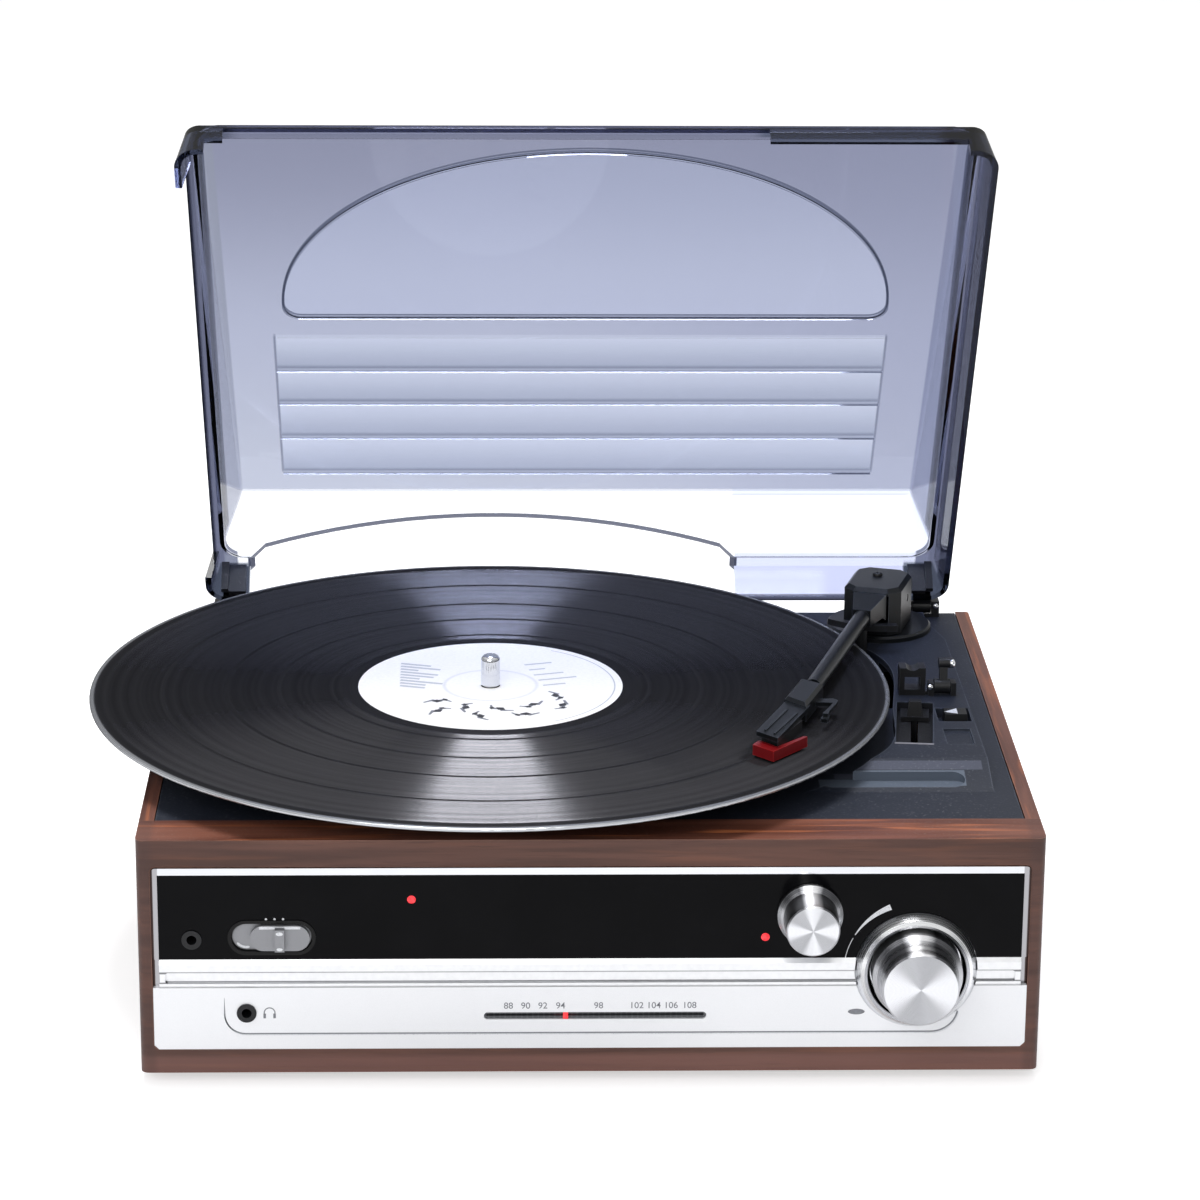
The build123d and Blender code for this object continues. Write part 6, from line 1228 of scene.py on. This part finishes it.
def turned(name, profile, place_at, axis, material, body="base", steps=32):
    """A solid turned from a profile of (radius, height) in millimetres, standing along an axis."""
    corners, faces = [], []
    for radius, height in profile:
        for k in range(steps):
            turn = 2 * math.pi * k / steps
            corners.append(Vector((radius * math.cos(turn), radius * math.sin(turn), height)) * MM)
    for ring in range(len(profile) - 1):
        for k in range(steps):
            a, b = ring * steps + k, ring * steps + (k + 1) % steps
            faces.append((a, b, b + steps, a + steps))
    faces.append(tuple(range(steps - 1, -1, -1)))
    faces.append(tuple(range((len(profile) - 1) * steps, len(profile) * steps)))
    lean = Vector(UPWARD).rotation_difference(Vector(axis)).to_matrix()
    made = piece_from(name, [Vector(place_at) + lean @ c for c in corners], faces, material, body)
    for face in made.data.polygons:
        face.use_smooth = len(face.vertices) == 4
    made.data.set_sharp_from_angle(angle=math.radians(35))
    return made


def pan_screw(name, place_at, radius, material, body):
    """A pan-head screw with a recess sunk in its crown, standing upright."""
    crown = [(radius, 0.0), (radius, 0.5), (radius * 0.92, 0.85), (radius * 0.7, 1.1), (radius * 0.34, 1.2),
             (radius * 0.3, 0.7), (0.05, 0.6)]
    return turned(name, crown, place_at, UPWARD, material, body)


DOME = [(1.3, 0.0), (1.2, 0.45), (0.8, 0.85), (0.3, 1.0), (0.05, 1.02)]
SIDES = ((-1, "left"), (1, "right"))
print("turning helpers ready")

# %% [markdown]
# ## Screws, rivets and tips
# Bright screws hold the hinge brackets to the deck and domed rivets hold the hinges to them. A black screw caps
# the arm's housing, and the cueing lever ends in a plated knob that catches the light.

# %% Hinge screws and rivets, housing screw and cueing tip
SCREW_X, SCREW_FORWARD = 118.0 * MM, 1.5 * MM
RIVET_PLACES = {"inner": 135.0 * MM, "outer": 146.0 * MM}
RIVET_DROP = 1.9 * MM
TIP = [(0.6, -0.4), (1.4, -0.2), (1.75, 0.4), (1.75, 1.0), (1.4, 1.5), (0.7, 1.75), (0.1, 1.8)]
TIP_OFF = 8.3 * MM
bracket_low, bracket_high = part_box("hinge_brackets")
lever_low, lever_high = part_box("cue_lever")

for hand, side in SIDES:
    foot = Vector((hand * SCREW_X, bracket_low.y + SCREW_FORWARD, bracket_low.z))
    pan_screw(f"deck_screw_{side}", foot, 2.4, steel_finish, "base")
housing = middle("arm_housing")
housing_top = Vector((housing.x, housing.y + 4 * MM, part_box("arm_housing")[1].z))
pan_screw("housing_screw", housing_top, 2.0, black_plastic, "arm_pivot")
tip_place = Vector((lever_low.x + TIP_OFF, middle("cue_lever").y, lever_high.z - 2 * MM))
turned("cue_lever_tip", TIP, tip_place, RIGHTWARD, chrome_trim, "cue_lever")
for hand, side in SIDES:
    for which, x in RIVET_PLACES.items():
        spot = Vector((hand * x, bracket_low.y, bracket_high.z - RIVET_DROP))
        turned(f"hinge_rivet_{which}_{side}", DOME, spot, FORWARD, chrome_trim, steps=20)
cap_place = lever_low + Vector((0.6, 0.6, 3.2)) * MM
turned("cue_pivot_cap", DOME, cap_place, FORWARD, chrome_trim, steps=20)
print("screws, rivets and tip placed")

# %% [markdown]
# ## The auto-stop mark
# A white triangle on the slide's cap points the way to push it.

# %% Auto-stop triangle
stop_low, stop_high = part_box("auto_stop_knob")
middle_y, mark_z = middle("auto_stop_knob").y, stop_high.z + PRINT_PROUD
triangle = [(stop_low.x + x * MM, middle_y + y * MM, mark_z) for x, y in ((0.3, -0.8), (5.2, -3.0), (5.2, 3.0))]
piece_from("auto_stop_triangle", triangle, [(0, 1, 2)], white_ink_and_highlight, "auto_stop_knob")
print("triangle on the auto-stop slide")

# %% [markdown]
# ## The back
# Each line-out jack wears a coloured collar, white for left and red for right, and the mains inlet has two
# bright pins.

# %% Jack collars and inlet pins
JACK_HALF_PITCH, PIN_HALF_PITCH = 13.0 * MM, 3.5 * MM
COLLAR = [(5.6, 0.0), (5.6, 1.0), (5.0, 1.6), (2.4, 1.6), (2.3, 0.4), (2.2, 0.0)]
PIN = [(1.3, -6.5), (1.3, -0.6), (0.9, -0.2), (0.05, -0.15)]


def on_back(node, aside):
    """A place on a solid's rear face, off its middle to one side."""
    centre = middle(node)
    return Vector((centre.x + aside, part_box(node)[1].y, centre.z))


for hand, colour, material in ((-1, "white", white_plastic), (1, "red", red_plastic)):
    spot = on_back("line_out_jacks", hand * JACK_HALF_PITCH)
    turned(f"jack_collar_{colour}", COLLAR, spot, BACKWARD, material)
for hand, side in SIDES:
    turned(f"inlet_pin_{side}", PIN, on_back("mains_inlet", hand * PIN_HALF_PITCH), BACKWARD, chrome_trim, steps=20)
print("collars and pins on the back")

# %% [markdown]
# ## Floor and light
# The product stands in a pale, plain studio: a wide floor, an even sky, a broad lamp overhead and a softer one
# before it. The floor and sky are white to the camera, and to anything that mirrors or transmits them, but the
# light that they throw on the object is gentler, so that each finish shows about as it was mixed.

# %% Floor
FLOOR_RADIUS = 9.0
FLOOR_LIFT = 0.55
MIRRORED_SHARE = 0.45
PAPER, WHITE = (0.86, 0.86, 0.87, 1.0), (1.0, 1.0, 1.0, 1.0)


def floor_material():
    """Pale paper that shines a little to the eye and through glass, and less in mirrors."""
    look = Finish("floor_paper", PAPER, 0.9, Specular_IOR_Level=0.0, Emission_Color=WHITE)
    rays = place(look.tree, "LightPath")
    seen = most(rays["Is Camera Ray"], rays["Is Glossy Ray"] * MIRRORED_SHARE, rays["Is Transmission Ray"])
    paper = blend(spread(noise(look.where, 300.0, 3.0), 0.3, 0.7), PAPER, (0.88, 0.88, 0.89, 1.0))
    return look.feed(Base_Color=paper, Emission_Strength=seen * FLOOR_LIFT)


floor_corners, floor_faces = disc((0, 0), FLOOR_RADIUS, FLOOR_RADIUS, 64)
floor_mesh = bpy.data.meshes.new("floor")
floor_mesh.from_pydata([(c.x, c.y, 0.0) for c in floor_corners], [], floor_faces)
floor_mesh.materials.append(floor_material())
floor = linked("floor", floor_mesh)
print("floor of", FLOOR_RADIUS, "m")

# %% Sky and lamps
SKY_LIGHT = 0.42
MIRROR_LIGHT = 0.8


def make_sky():
    """Even light from all round: white to the eye, gentler as light, and a little dimmer in mirrors."""
    world = bpy.data.worlds.new("studio")
    world.use_nodes = True
    tree = world.node_tree
    rays = place(tree, "LightPath")
    direct = most(rays["Is Camera Ray"], rays["Is Transmission Ray"])
    height = parts(place(tree, "TexCoord")["Generated"])["Z"]
    mirrored = rays["Is Glossy Ray"] * spread(height, 0.0, 0.8, 0.3, MIRROR_LIGHT)
    plug(tree.nodes["Background"], {"Color": WHITE, "Strength": most(direct, mirrored, SKY_LIGHT)})
    bpy.context.scene.world = world


def lamp(name, place_at, target, width, depth, watts):
    """A rectangular soft lamp aimed at a point, unseen by the camera itself."""
    data = bpy.data.lights.new(name, "AREA")
    data.shape = "RECTANGLE"
    data.size, data.size_y, data.energy = width, depth, watts
    made = linked(name, data)
    made.location = place_at
    made.rotation_mode = "QUATERNION"
    made.rotation_quaternion = (Vector(target) - Vector(place_at)).to_track_quat("-Z", "Y")
    made.visible_camera = False
    return made


make_sky()
lamp("overhead_lamp", (-0.035, 0.2, 1.5), (-0.035, 0, 0.1), 0.5, 0.5, 16.0)
front_lamp = lamp("front_lamp", (-0.5, -1.6, 1.0), (0, 0, 0.1), 1.4, 1.0, 16.0)
front_lamp.visible_transmission = False
print("sky and two lamps")
